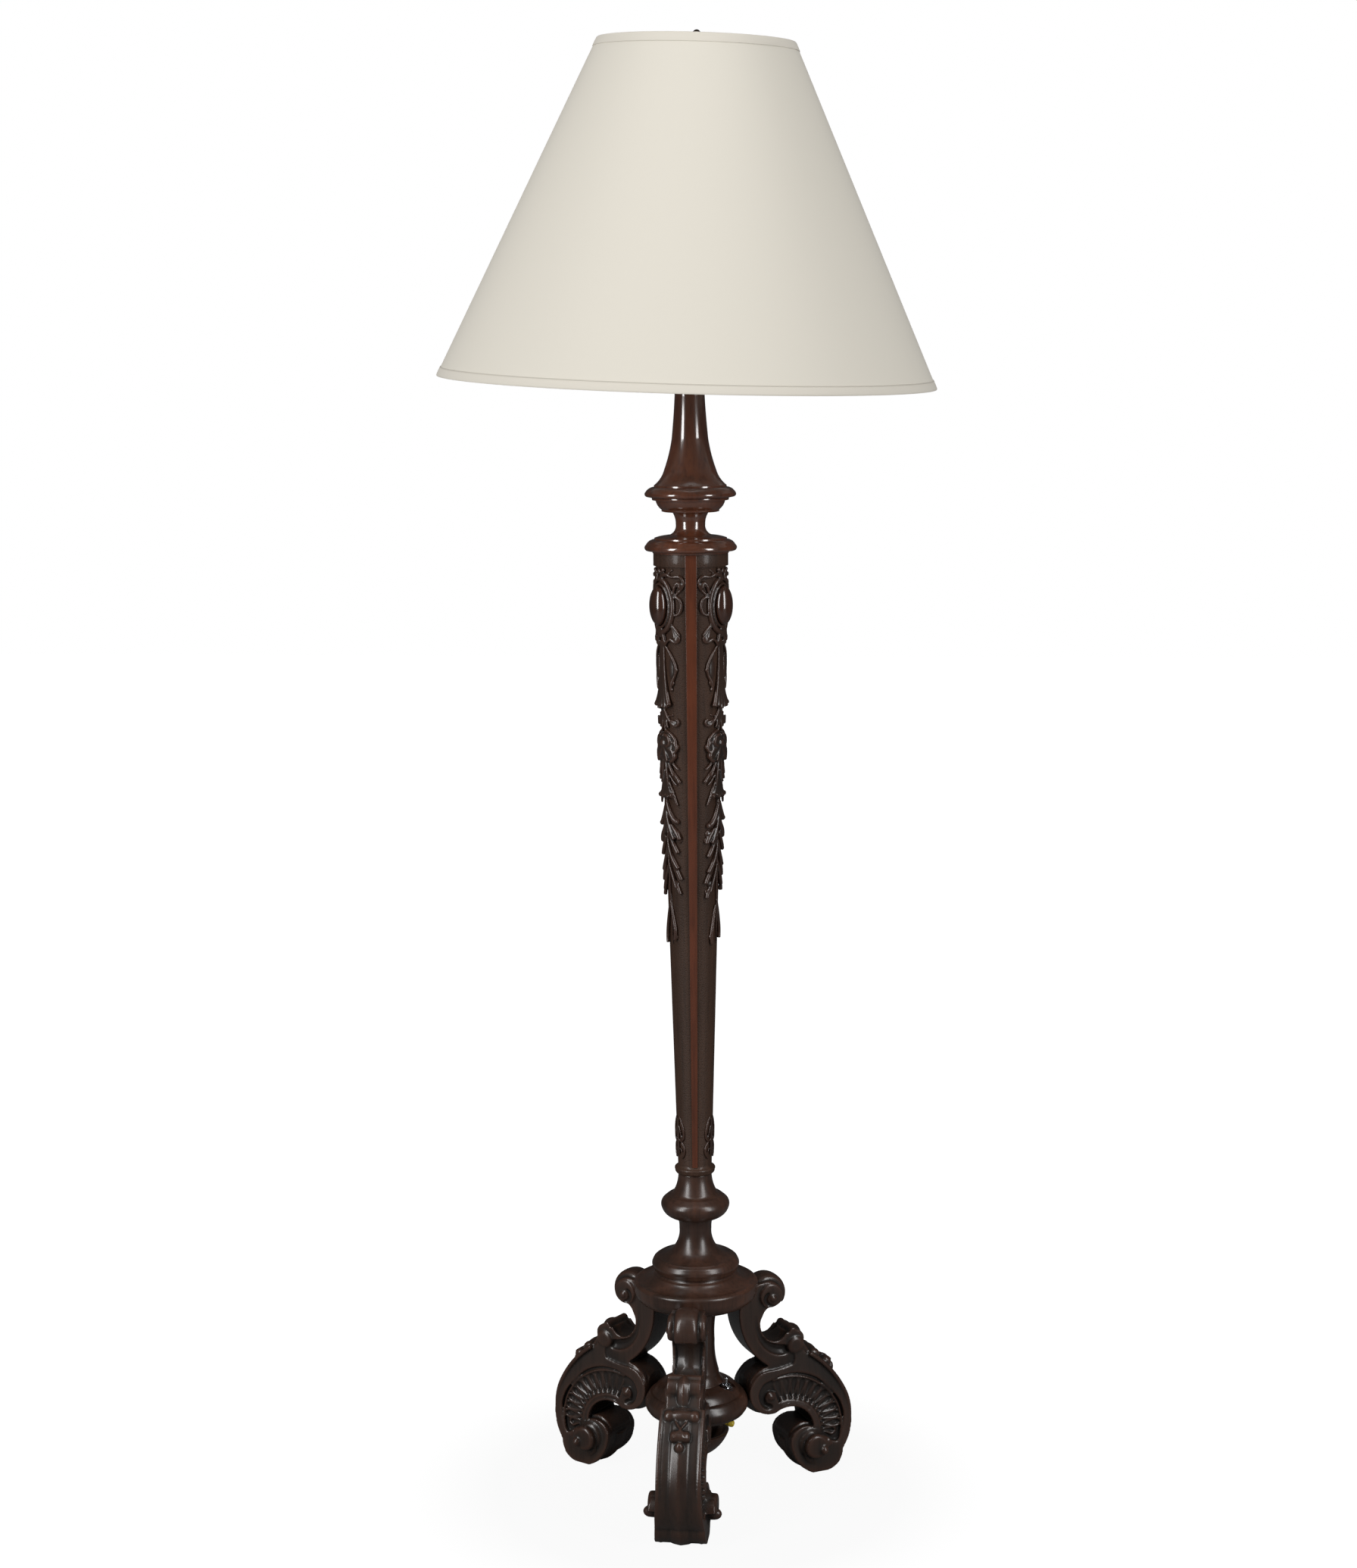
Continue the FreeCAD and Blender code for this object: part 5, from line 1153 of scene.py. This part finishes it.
# The cabochon's middle height, half width and half height; its half depth and how far it stands out

CABOCHON, STONE_DEPTH, STONE_LIFT = (1056.0, 13.2, 22.2), 9.0, 4.2
OVAL_STEPS = 22


def oval(turn_half, height_half, start, end):
    """Places on an oval round the cabochon."""
    spots = []
    for i in range(OVAL_STEPS):
        way = math.radians(start + (end - start) * i / (OVAL_STEPS - 1))
        spots.append((math.cos(way) * turn_half, CABOCHON[0] + math.sin(way) * height_half))
    return spots


# Half of each ornament on a panel, from the top down. A strand is (size, lift, rise, places) with a swell where
# it isn't the usual one; a swelling is (turn, height, size, flat, tall, lift).

CARTOUCHE = [
    (1.7, 1.2, 0.0, oval(21.5, 24.4, -90, 90), [1.0] * OVAL_STEPS),
    (3.1, 0.45, 0.0, oval(28.5, 31.0, -84, 86), [1.0] * OVAL_STEPS),
    (1.9, 0.9, 0.0, [(31, 1066), (39, 1067), (44, 1061), (44, 1052), (39, 1046), (31, 1046)],
     [0.8, 1, 1.1, 1.1, 1, 0.8]),
    (1.7, 0.8, 0.6, [(33, 1068), (40, 1072), (46, 1077), (48.5, 1083), (45, 1088.5), (37, 1090.5), (28, 1088),
                     (22, 1090)]),
    (1.9, 1.0, 0.0, [(30, 1070), (32.5, 1077), (35, 1081.5), (40, 1083), (43, 1080), (41.5, 1076.5)],
     [0.7, 1, 1.1, 1.1, 1.2, 1.2]),
    (2.3, 0.8, 0.0, [(4, 1086), (9, 1091), (16, 1093), (24, 1090)]),
    (1.8, 0.5, 2.0, [(2, 1084), (5, 1092), (12, 1097.5)]),
    (1.4, 0.5, 0.0, [(16, 1088), (22, 1095), (30, 1097)]),
    (1.7, 1.0, 1.0, [(39, 1022), (40, 1017.5), (35, 1014.5), (28, 1016), (23, 1019.5), (17, 1017),
                     (12, 1012)]),
    (2.6, 0.4, 0.0, [(6, 1026), (13, 1028), (20, 1031)]),
    (2.6, 0.6, 0.0, [(2, 1030), (9, 1022), (11, 1012)]),
]
CARTOUCHE_LUMPS = [
    (40.5, 1079.5, 3.0, 0.6, 1.0, 1.6), (12, 1096.5, 2.6, 0.6, 1.0, 2.4), (34.5, 1018.5, 4.0, 0.6, 1.0, 1.6),
]
CARTOUCHE_EAR = [(41, 1023), (38.5, 1018), (33, 1015.5)]
RIBBON = [
    (7, 1013), (15, 1009), (23, 1001), (29, 994), (33, 987.5), (32, 980), (27, 973), (21, 967), (23, 959.5),
]
PODS = [
    (23, 985, 5.2, 0.34, 2.6, 0.4), (32.5, 984.0, 2.7, 0.6, 1.0, 1.8), (24.5, 969.0, 3.0, 0.6, 1.2, 1.8),
    (22.5, 961.5, 2.3, 0.6, 1.0, 1.4),
]
FLOWER = [
    (1.8, 1.0, 1.2, [(3, 938), (10, 930), (19, 923.5), (28, 919.5), (35, 921), (36.5, 926), (31, 928)]),
    (1.3, 0.5, 0.0, [(14, 932), (20, 930.5), (25, 933)]),
    (1.8, 1.0, 0.0, [(20, 926), (25, 924.5), (30, 924)]),
    (1.8, 1.0, 1.4, [(4, 915), (14, 912), (24, 908), (30, 903), (31, 898)]),
    (2.0, 2.0, 1.4, [(3, 909), (13, 909), (20, 903), (18, 897), (11, 896)]),
    (2.0, 1.4, 1.6, [(16, 901), (24, 902), (31, 899), (33, 893), (28, 890)]),
    (2.3, 1.6, 1.2, [(5, 899), (13, 893), (21, 893), (28, 888), (27, 881), (19, 878.5)]),
    (2.3, 1.6, 1.6, [(2, 896), (6, 889), (12, 885), (14, 879)]),
]
FLOWER_LUMPS = [
    (29.5, 922.5, 2.7, 0.6, 1.0, 1.4), (22, 885.5, 5.4, 0.75, 1.0, 1.8), (31, 896, 3.4, 0.6, 1.0, 1.6),
    (12, 903, 3.0, 0.6, 1.0, 3.8), (10, 883, 4.2, 0.8, 1.0, 2.2),
]
HUSKS = [
    (2.2, 0.9, 1.2, [(6, 886), (12, 877), (18, 869), (24.5, 862)]),
    (1.7, 0.9, 1.2, [(9, 888), (16, 880), (24, 874), (35, 870)]),
    (1.8, 0.9, 1.2, [(13, 874), (22, 867), (29, 862), (37, 855)], [0.5, 0.9, 1.0, 1.3]),
    (2.4, 0.9, 0.0, [(3, 884), (6, 872), (9, 860), (9, 850)]),
    (1.9, 0.9, 1.0, [(10, 858), (17, 848), (23, 838), (31, 828)], [0.6, 1.0, 1.2, 0.7]),
    (1.5, 0.8, 1.0, [(9, 866), (20, 855), (30, 852)]),
]
TRAIL = [
    [(3, 832), (8, 822), (17, 814), (25, 809), (32.5, 810)],
    [(-2, 832), (1, 812), (10, 799), (23, 789)],
    [(14, 806), (20, 799), (29, 798), (34, 789)],
    [(6, 796), (13, 787), (21, 781), (30, 773)],
    [(1, 786), (7, 772), (15, 764), (30, 755)],
    [(13, 766), (22, 756), (29, 750), (36, 742)],
    [(1, 762), (9, 750), (17, 744), (24, 732)],
    [(14, 741), (22, 739), (27, 733), (33, 725)],
    [(2, 716), (8, 704), (14, 690), (19, 679), (15, 670)],
]
BUDS = [(27.5, 795.0, 3.6), (32.0, 787.5, 2.6), (23.5, 737.0, 2.8), (29.5, 727.5, 2.4), (17.0, 674.0, 2.6)]
STEM = [(0, 840), (-3, 822), (1, 800), (-2, 776), (3, 752), (-1, 728), (8, 704), (3, 688), (5, 664)]
FOOT_SPRIG = [
    [(8, 458), (19, 450), (26, 440), (24, 430), (14, 429)],
    [(6, 446), (12, 440), (16, 433)],
    [(8, 430), (20, 426), (29, 420), (24, 410), (12, 408)],
    [(3, 456), (2, 436), (4, 412)],
    [(10, 420), (18, 416)],
]
MIDDLE_LUMPS = [
    (0.0, 895.0, 16.5, 0.30, 1.05, 0.0), (0.0, 899.0, 4.6, 0.6, 1.0, 4.2), (0.0, 1095.0, 3.4, 0.6, 1.0, 1.6),
    (0.0, 1024.0, 4.4, 0.6, 1.0, 1.6),
]


def cartouche(side):
    """The strapwork round the cabochon, with its scrolls, ears and lower leaf."""
    ear = spray(side, (23, 1036), CARTOUCHE_EAR, 1.7, bow=-2.0, rise=2.0)
    return strokes(side, CARTOUCHE) + ear + lumps(side, CARTOUCHE_LUMPS)


def pods(side):
    """The ribbon and pod that hang beside the long drape."""
    ribbon = stroke(side, RIBBON, 1.7, [0.6, 0.9, 1.1, 1.0, 1.25, 0.9, 1.15, 1.25, 0.6], lift=1.1, rise=0.8)
    return [ribbon] + lumps(side, PODS)


def flower(side):
    """Half of the flower and of the scrolled leaf above it."""
    leaf = spray(side, (2, 940), [(5, 915), (13, 917)], 2.1, bow=1.0)
    return leaf + strokes(side, FLOWER) + lumps(side, FLOWER_LUMPS)


def trail(side):
    """The leaves and buds that trail down the panel; the left leaves are a little lower and nearer."""
    pieces = []
    nearer, lower = (1.0, 0.0) if side > 0 else (0.94, 5.0)
    for i, places in enumerate(TRAIL):
        last = len(places) - 1
        swell = [0.5 + 0.9 * math.sin(math.pi * (0.10 + 0.62 * j / last)) for j in range(last + 1)]
        leaf = [(turn * nearer, height - lower) for turn, height in places]
        pieces.append(stroke(side, leaf, 2.5 - 0.09 * i, swell, lift=0.9, rise=1.2))
    for turn, height, size in BUDS:
        pieces.append(lump(side, turn, height, size, lift=1.0, tall=1.3))
    return pieces


def panel_carving():
    """Everything carved on one panel, as one skin that ends just under the ground."""
    pieces = fringe(1016.0, 938.0, 21.0, 5.6) + fringe(868.0, 836.0, 22.0, 4.8)
    for side in (1.0, -1.0):
        pieces += cartouche(side) + pods(side) + flower(side) + strokes(side, HUSKS) + trail(side)
        pieces += [stroke(side, places, 1.25, lift=0.8, rise=0.6) for places in FOOT_SPRIG]
    pieces.append(stroke(1.0, STEM, 1.7, [1.3, 1.2, 1.1, 1.1, 1.0, 1.0, 0.9, 0.8, 0.4], lift=0.6))
    pieces += lumps(1.0, MIDDLE_LUMPS)
    return softened(joined("panel_carving", pieces), PANEL_VOXEL, rounds=2)


def shaft_ground():
    """The tapering ground under the carving, its moulded foot and its plain collar."""
    foot = shares(FOOT_RADIUS * MM, FOOT_HEIGHT * MM, FOOT_SHARES, SHAFT_FOOT * MM)
    ground = [(GROUND_NARROW, GROUND_FOOT), (GROUND_WIDE, GROUND_HEAD)]
    collar = [(COLLAR, GROUND_HEAD), (COLLAR, SHAFT_HEAD)]
    path = [(BORE, SHAFT_FOOT * MM)] + foot + mm_points(ground + collar) + [(BORE, SHAFT_HEAD * MM)]
    piece = lathed("shaft_ground", path, closed=True, ease=FINE_EASE)
    return finished(piece, "stand", "dark_wood", GROUND_WOOD, "carved_shaft")


def shaft_band(direction):
    """One smooth band, from the shaft's foot up over the collar."""
    core, top = GROUND_NARROW - BAND_DEPTH, SHAFT_HEAD - 0.3
    outline = [(core, GROUND_FOOT), (BAND_NARROW, GROUND_FOOT), (BAND_WIDE, GROUND_HEAD)]
    outline += [(BAND_COLLAR, top), (core, top)]
    piece = drawn_line("shaft_band", mm_points(outline), closed=True)
    bpy.ops.mesh.edge_face_add()
    bpy.ops.mesh.spin(steps=8, angle=math.radians(BAND_ARC), center=(0, 0, 0), axis=(0, 0, 1))
    shell()
    piece.rotation_euler = (0, 0, math.radians(direction + BAND_ARC / 2.0))
    settle(piece)
    return eased(piece, BAND_EASE)


def cabochon(direction):
    """The oval stone in a panel's cartouche."""
    height, half_wide, half_tall = CABOCHON
    let_go()
    bpy.ops.mesh.primitive_uv_sphere_add(segments=48, ring_count=32, radius=MM)
    stone = named("cabochon")
    stone.scale = (STONE_DEPTH, half_wide, half_tall)
    stone.location = mm(*on_panel(0.0, height, STONE_LIFT))
    settle(stone)
    stone.rotation_euler = (0, 0, math.radians(direction))
    settle(stone)
    return stone


def shaft():
    """The ground, its three bands, and a carving with its stone on each panel."""
    shaft_ground()
    bands = [shaft_band(FRONT + SHAFT_TURN + 120.0 * i) for i in range(3)]
    finished(joined("shaft_bands", bands), "stand", "dark_wood", BAND_WOOD, "carved_shaft")
    source = panel_carving()
    stones = []
    for name, turn in PANEL_TURNS.items():
        direction = FRONT + SHAFT_TURN + turn
        piece = turned_copy(source, "shaft_carving_" + name, direction)
        finished(piece, "stand", "dark_wood", CARVED_WOOD, "carved_shaft")
        stones.append(cabochon(direction))
    bpy.data.objects.remove(source)
    piece = joined("shaft_cabochons", stones)
    bpy.ops.object.shade_smooth()
    finished(piece, "stand", "dark_wood", STONE_WOOD, "carved_shaft")


shaft()


# Shade, on the axis that leans with the saddle. Its heights are measured from the saddle.

SADDLE, LEAN_ANGLE, LEAN_ABOUT = 1392.7 * MM, 3.08, Vector((2.08, 2.25, 0))
LEAN = Matrix.Translation((0, 0, SADDLE)) @ Matrix.Rotation(math.radians(LEAN_ANGLE), 4, LEAN_ABOUT)
SHADE_LOW, SHADE_HIGH = -86.6 * MM, 282.0 * MM
SHADE_WIDE, SHADE_NARROW = 279.5 * MM, 109.0 * MM
SLOPE = (SHADE_WIDE - SHADE_NARROW) / (SHADE_HIGH - SHADE_LOW)
SHADE_WALL, LINEN_THICK, GLUE_GAP, SHADE_STEPS = 1.2 * MM, 0.5 * MM, 0.02 * MM, 192
TAPE_WIDE, TAPE_THICK, TAPE_OVER, TAPE_GAP = 9.0 * MM, 0.75 * MM, 0.7 * MM, 0.05 * MM
# Half the height of the painted shadow line along the lower tape's edge.
EDGE_SHADOW_HALF = 0.5 * MM


def cone_radius(height):
    """The linen's outer radius at a height."""
    return SHADE_WIDE - (height - SHADE_LOW) * SLOPE


def cone_side(depth, steps=1):
    """Places up the cone's side, at a depth under the linen's outer face."""
    rise = (SHADE_HIGH - SHADE_LOW) / steps
    heights = [SHADE_LOW + rise * i for i in range(steps + 1)]
    return [(cone_radius(height) - depth, height) for height in heights]


def laid_cloth(piece):
    """A UV map in metres: round the cone and up it, for the weave."""
    cloth = piece.data.uv_layers.new(name="cloth")
    mean = (SHADE_WIDE + SHADE_NARROW) / 2.0
    slant = math.hypot(1.0, SLOPE)
    for face in piece.data.polygons:
        corners = [piece.data.vertices[piece.data.loops[i].vertex_index].co for i in face.loop_indices]
        turns = [math.atan2(c.y, c.x) for c in corners]
        wrap = max(turns) - min(turns) > math.pi
        for i, corner, turn in zip(face.loop_indices, corners, turns):
            if wrap and turn < 0:
                turn += math.tau
            cloth.data[i].uv = (turn * mean, corner.z * slant + corner.xy.length * 0.02)


def leaned(piece):
    """Lay the cloth's map, then lean a piece with the shade."""
    laid_cloth(piece)
    piece.data.transform(LEAN)
    return piece


def round_shade(name, path):
    """A thin layer turned about the shade's axis and leaned with it."""
    return leaned(lathed(name, path, steps=SHADE_STEPS, ease=0, closed=True))


def shade():
    """The linen cone on its backing."""
    skin = round_shade("shade_linen", cone_side(0.0, 24) + cone_side(LINEN_THICK)[::-1])
    finished(skin, "shade", "shade_linen", LINEN, "shade_skin")
    inner, outer = cone_side(SHADE_WALL), cone_side(LINEN_THICK + GLUE_GAP)
    finished(round_shade("shade_backing", [inner[0]] + outer + [inner[1]]), "shade", "shade_linen", BACKING)


def tape_round(name, edge, way, node_name):
    """A bias tape folded over the rim: a soft outer band that turns under to the inside."""
    under = -SHADE_WALL - TAPE_THICK * 0.7
    steps = [
        (TAPE_WIDE, 0.1 * MM), (TAPE_WIDE, TAPE_THICK * 0.8), (TAPE_WIDE - 0.5 * MM, TAPE_THICK),
        (TAPE_WIDE * 0.5, TAPE_THICK * 1.15), (1.2 * MM, TAPE_THICK), (0.0, TAPE_THICK * 0.75),
        (-TAPE_OVER, 0.0), (-TAPE_OVER, -SHADE_WALL), (0.0, under), (TAPE_WIDE * 0.7, under),
        (TAPE_WIDE * 0.7, -SHADE_WALL - TAPE_GAP), (0.0, -SHADE_WALL - TAPE_GAP), (0.0, 0.1 * MM),
    ]
    path = [(cone_radius(edge + way * along) + out, edge + way * along) for along, out in steps]
    piece = round_shade(name, path)
    take(piece)
    bpy.ops.object.shade_smooth()
    return finished(piece, "shade", "shade_trim", TAPE, node_name)


def tape_edge_shadow():
    """A painted shadow line of darker linen along the lower tape's upper edge, where it meets the linen."""
    low, high = (SHADE_LOW + TAPE_WIDE + half for half in (-EDGE_SHADOW_HALF, EDGE_SHADOW_HALF))
    sides = [(low, 0.3 * MM), (low, 1.0 * MM), (high, 0.6 * MM), (high, 0.1 * MM), (low, 0.3 * MM)]
    path = [(cone_radius(height) + out, height) for height, out in sides]
    finished(round_shade("tape_edge_shadow", path), "shade", "shade_trim", EDGE_SHADOW_LINEN)


shade()
tape_round("lower_tape", SHADE_LOW, 1.0, "shade_trim_bottom")
tape_round("upper_tape", SHADE_HIGH, -1.0, "shade_trim_top")
tape_edge_shadow()


# Wire connector, in millimetres from the wire's end

CONNECTOR_START, CONNECTOR_DROOP = mm(27.6, 0.0, 80.8), 16.0
CONNECTOR = [
    (0, 0), (3.3, 0), (3.0, 9.5), (4.1, 11.0, 3.5, 10.0), (3.8, 16.5, 4.2, 14.0), (0, 18.0, 2.3, 17.7),
]


def twist_connector():
    """The twist-on wire connector, drooping a little from the wire's end."""
    cap = lathed("twist_connector", mm_points(CONNECTOR), steps=48, ease=0)
    cap.rotation_euler = (0, math.radians(90.0 + CONNECTOR_DROOP), 0)
    cap.location = CONNECTOR_START
    settle(cap)
    finished(cap, "stand", "yellow_plastic", YELLOW, "wire_connector")


twist_connector()


# CAD parts that keep their own shape

KEPT = {
    ZINC: ["lamp_pipe", "pipe_nuts", "pipe_washers", "leg_screws", "harp_saddle", "harp"],
    BRASS: [
        "check_ring", "harp_sleeve_left", "harp_sleeve_right", "socket_cap", "socket_shell", "screw_shell",
        "socket_contact", "terminal_screws",
    ],
    CHROME: ["switch_bushing", "switch_nut", "switch_lever"],
    ALUMINIUM: ["bulb_cap"],
    DARK_BRASS: ["finial"],
    CARD: ["socket_liner"],
    CERAMIC: ["socket_core"],
    ENAMEL: ["shade_ring_bottom", "shade_ring_top", "shade_spider"],
    BLACK: ["switch_body"],
    JACKET: ["lamp_wire", "switch_leads"],
    GLASS: ["bulb_glass"],
    STEM_GLASS: ["bulb_stem"],
    DOWEL_WOOD: ["leg_dowels"],
}
for finish, names in KEPT.items():
    for name in names:
        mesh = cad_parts[name].data
        mesh.materials.clear()
        mesh.materials.append(finish)


# Floor, light and camera

FLOOR_SIZE, FLOOR_SHIFT, FLOOR_DROP = 14.0, 2.0, 0.5 * MM
FLOOR_GLOW, FADE_START, FADE_END, NEAR_FADE = 1.12, 0.24, 0.60, 0.84
GLOSS_SKY, AMBIENT = 0.035, 0.16
WINDOW_TURN, WINDOW_AWAY, WINDOW_HIGH, WINDOW_AIM = 48.5, 2.6, 2.0, (0, 0, 1.1)
WINDOW_WIDE, WINDOW_TALL = 0.72, 3.3
VIEW_TURN = 5.4
VIEW_DISTANCE, VIEW_HEIGHT, VIEW_LENS, SENSOR = 2.984, 1.3235, 60.43, 36.0
VIEW_YAW, VIEW_PITCH, VIEW_ROLL = 0.305, 9.04, -0.447


def floor():
    """A floor that shows white, fades out away from the object and keeps a faint shadow."""
    let_go()
    bpy.ops.mesh.primitive_plane_add(size=FLOOR_SIZE, location=(0, FLOOR_SHIFT, -FLOOR_DROP))
    piece = named("floor")
    finish, tree, shader, place = new_finish("pale_floor")
    constants(shader, {"Base Color": (0.15, 0.15, 0.15, 1.0), "Roughness": 0.9, "Specular IOR Level": 0.0})
    glow = node(tree, "ShaderNodeEmission", {"Color": (1.0, 1.0, 1.0, 1.0), "Strength": FLOOR_GLOW})
    apart = node(tree, "ShaderNodeVectorMath", {1: (0.0, -FLOOR_SHIFT, 0.0)}, operation="DISTANCE")
    tree.links.new(place["Object"], apart.inputs[0])
    faded = ramp(tree, apart.outputs["Value"], [(FADE_START, (NEAR_FADE,) * 3), (FADE_END, (1.0,) * 3)])
    path = node(tree, "ShaderNodeLightPath")
    seen = sum_of(tree, "MULTIPLY", path.outputs["Is Camera Ray"], faded)
    mix = node(tree, "ShaderNodeMixShader")
    for source, socket in zip((seen, shader.outputs[0], glow.outputs[0]), mix.inputs):
        tree.links.new(source, socket)
    tree.links.new(mix.outputs[0], tree.nodes["Material Output"].inputs["Surface"])
    piece.data.materials.append(finish)


def surroundings():
    """White behind the object, and an even, dimmer light from all round."""
    world = bpy.data.worlds.new("studio")
    bpy.context.scene.world = world
    world.use_nodes = True
    tree = world.node_tree
    tree.nodes.clear()
    path = node(tree, "ShaderNodeLightPath")
    seen = sum_of(tree, "MAXIMUM", path.outputs["Is Camera Ray"], path.outputs["Is Transmission Ray"])
    ambient = sum_of(tree, "MULTIPLY_ADD", path.outputs["Is Glossy Ray"], GLOSS_SKY - AMBIENT, AMBIENT)
    strength = sum_of(tree, "MAXIMUM", seen, ambient)
    back = node(tree, "ShaderNodeBackground", {"Color": (1.0, 1.0, 1.0, 1.0)})
    tree.links.new(strength, back.inputs["Strength"])
    out = node(tree, "ShaderNodeOutputWorld")
    tree.links.new(back.outputs[0], out.inputs["Surface"])


def softbox(name, place, aim, width, height, watts):
    """A rectangular soft light that points at a spot."""
    light = bpy.data.lights.new(name, "AREA")
    light.shape = "RECTANGLE"
    light.size = width
    light.size_y = height
    light.energy = watts
    lamp = bpy.data.objects.new(name, light)
    bpy.context.scene.collection.objects.link(lamp)
    lamp.location = place
    lamp.rotation_euler = (Vector(aim) - Vector(place)).to_track_quat("-Z", "Y").to_euler()
    return lamp


def around(direction, distance, height):
    """A spot at a direction in degrees from the camera's side of the post."""
    turn = math.radians(FRONT + VIEW_TURN + direction)
    return (math.cos(turn) * distance, math.sin(turn) * distance, height)


def camera():
    """The photograph's view of the lamp."""
    lens = bpy.data.cameras.new("camera")
    lens.lens = VIEW_LENS
    lens.sensor_width = SENSOR
    lens.clip_start = 0.1
    view = bpy.data.objects.new("camera", lens)
    bpy.context.scene.collection.objects.link(view)
    turns = ((VIEW_TURN + VIEW_YAW, "Z"), (90.0 - VIEW_PITCH, "X"), (VIEW_ROLL, "Z"))
    yaw, pitch, lean = (Matrix.Rotation(math.radians(turn), 4, axis) for turn, axis in turns)
    view.matrix_world = Matrix.Translation(around(0.0, VIEW_DISTANCE, VIEW_HEIGHT)) @ yaw @ pitch @ lean
    bpy.context.scene.camera = view


floor()
surroundings()
for name, turn, watts in (("left_window", -WINDOW_TURN, 60.0), ("right_window", WINDOW_TURN, 49.0)):
    softbox(name, around(turn, WINDOW_AWAY, WINDOW_HIGH), WINDOW_AIM, WINDOW_WIDE, WINDOW_TALL, watts)
softbox("overhead", around(0.0, 0.2, 3.2), (0, 0, 0.8), 2.0, 2.0, 5.0)
camera()

bpy.context.scene.view_settings.view_transform = "Standard"
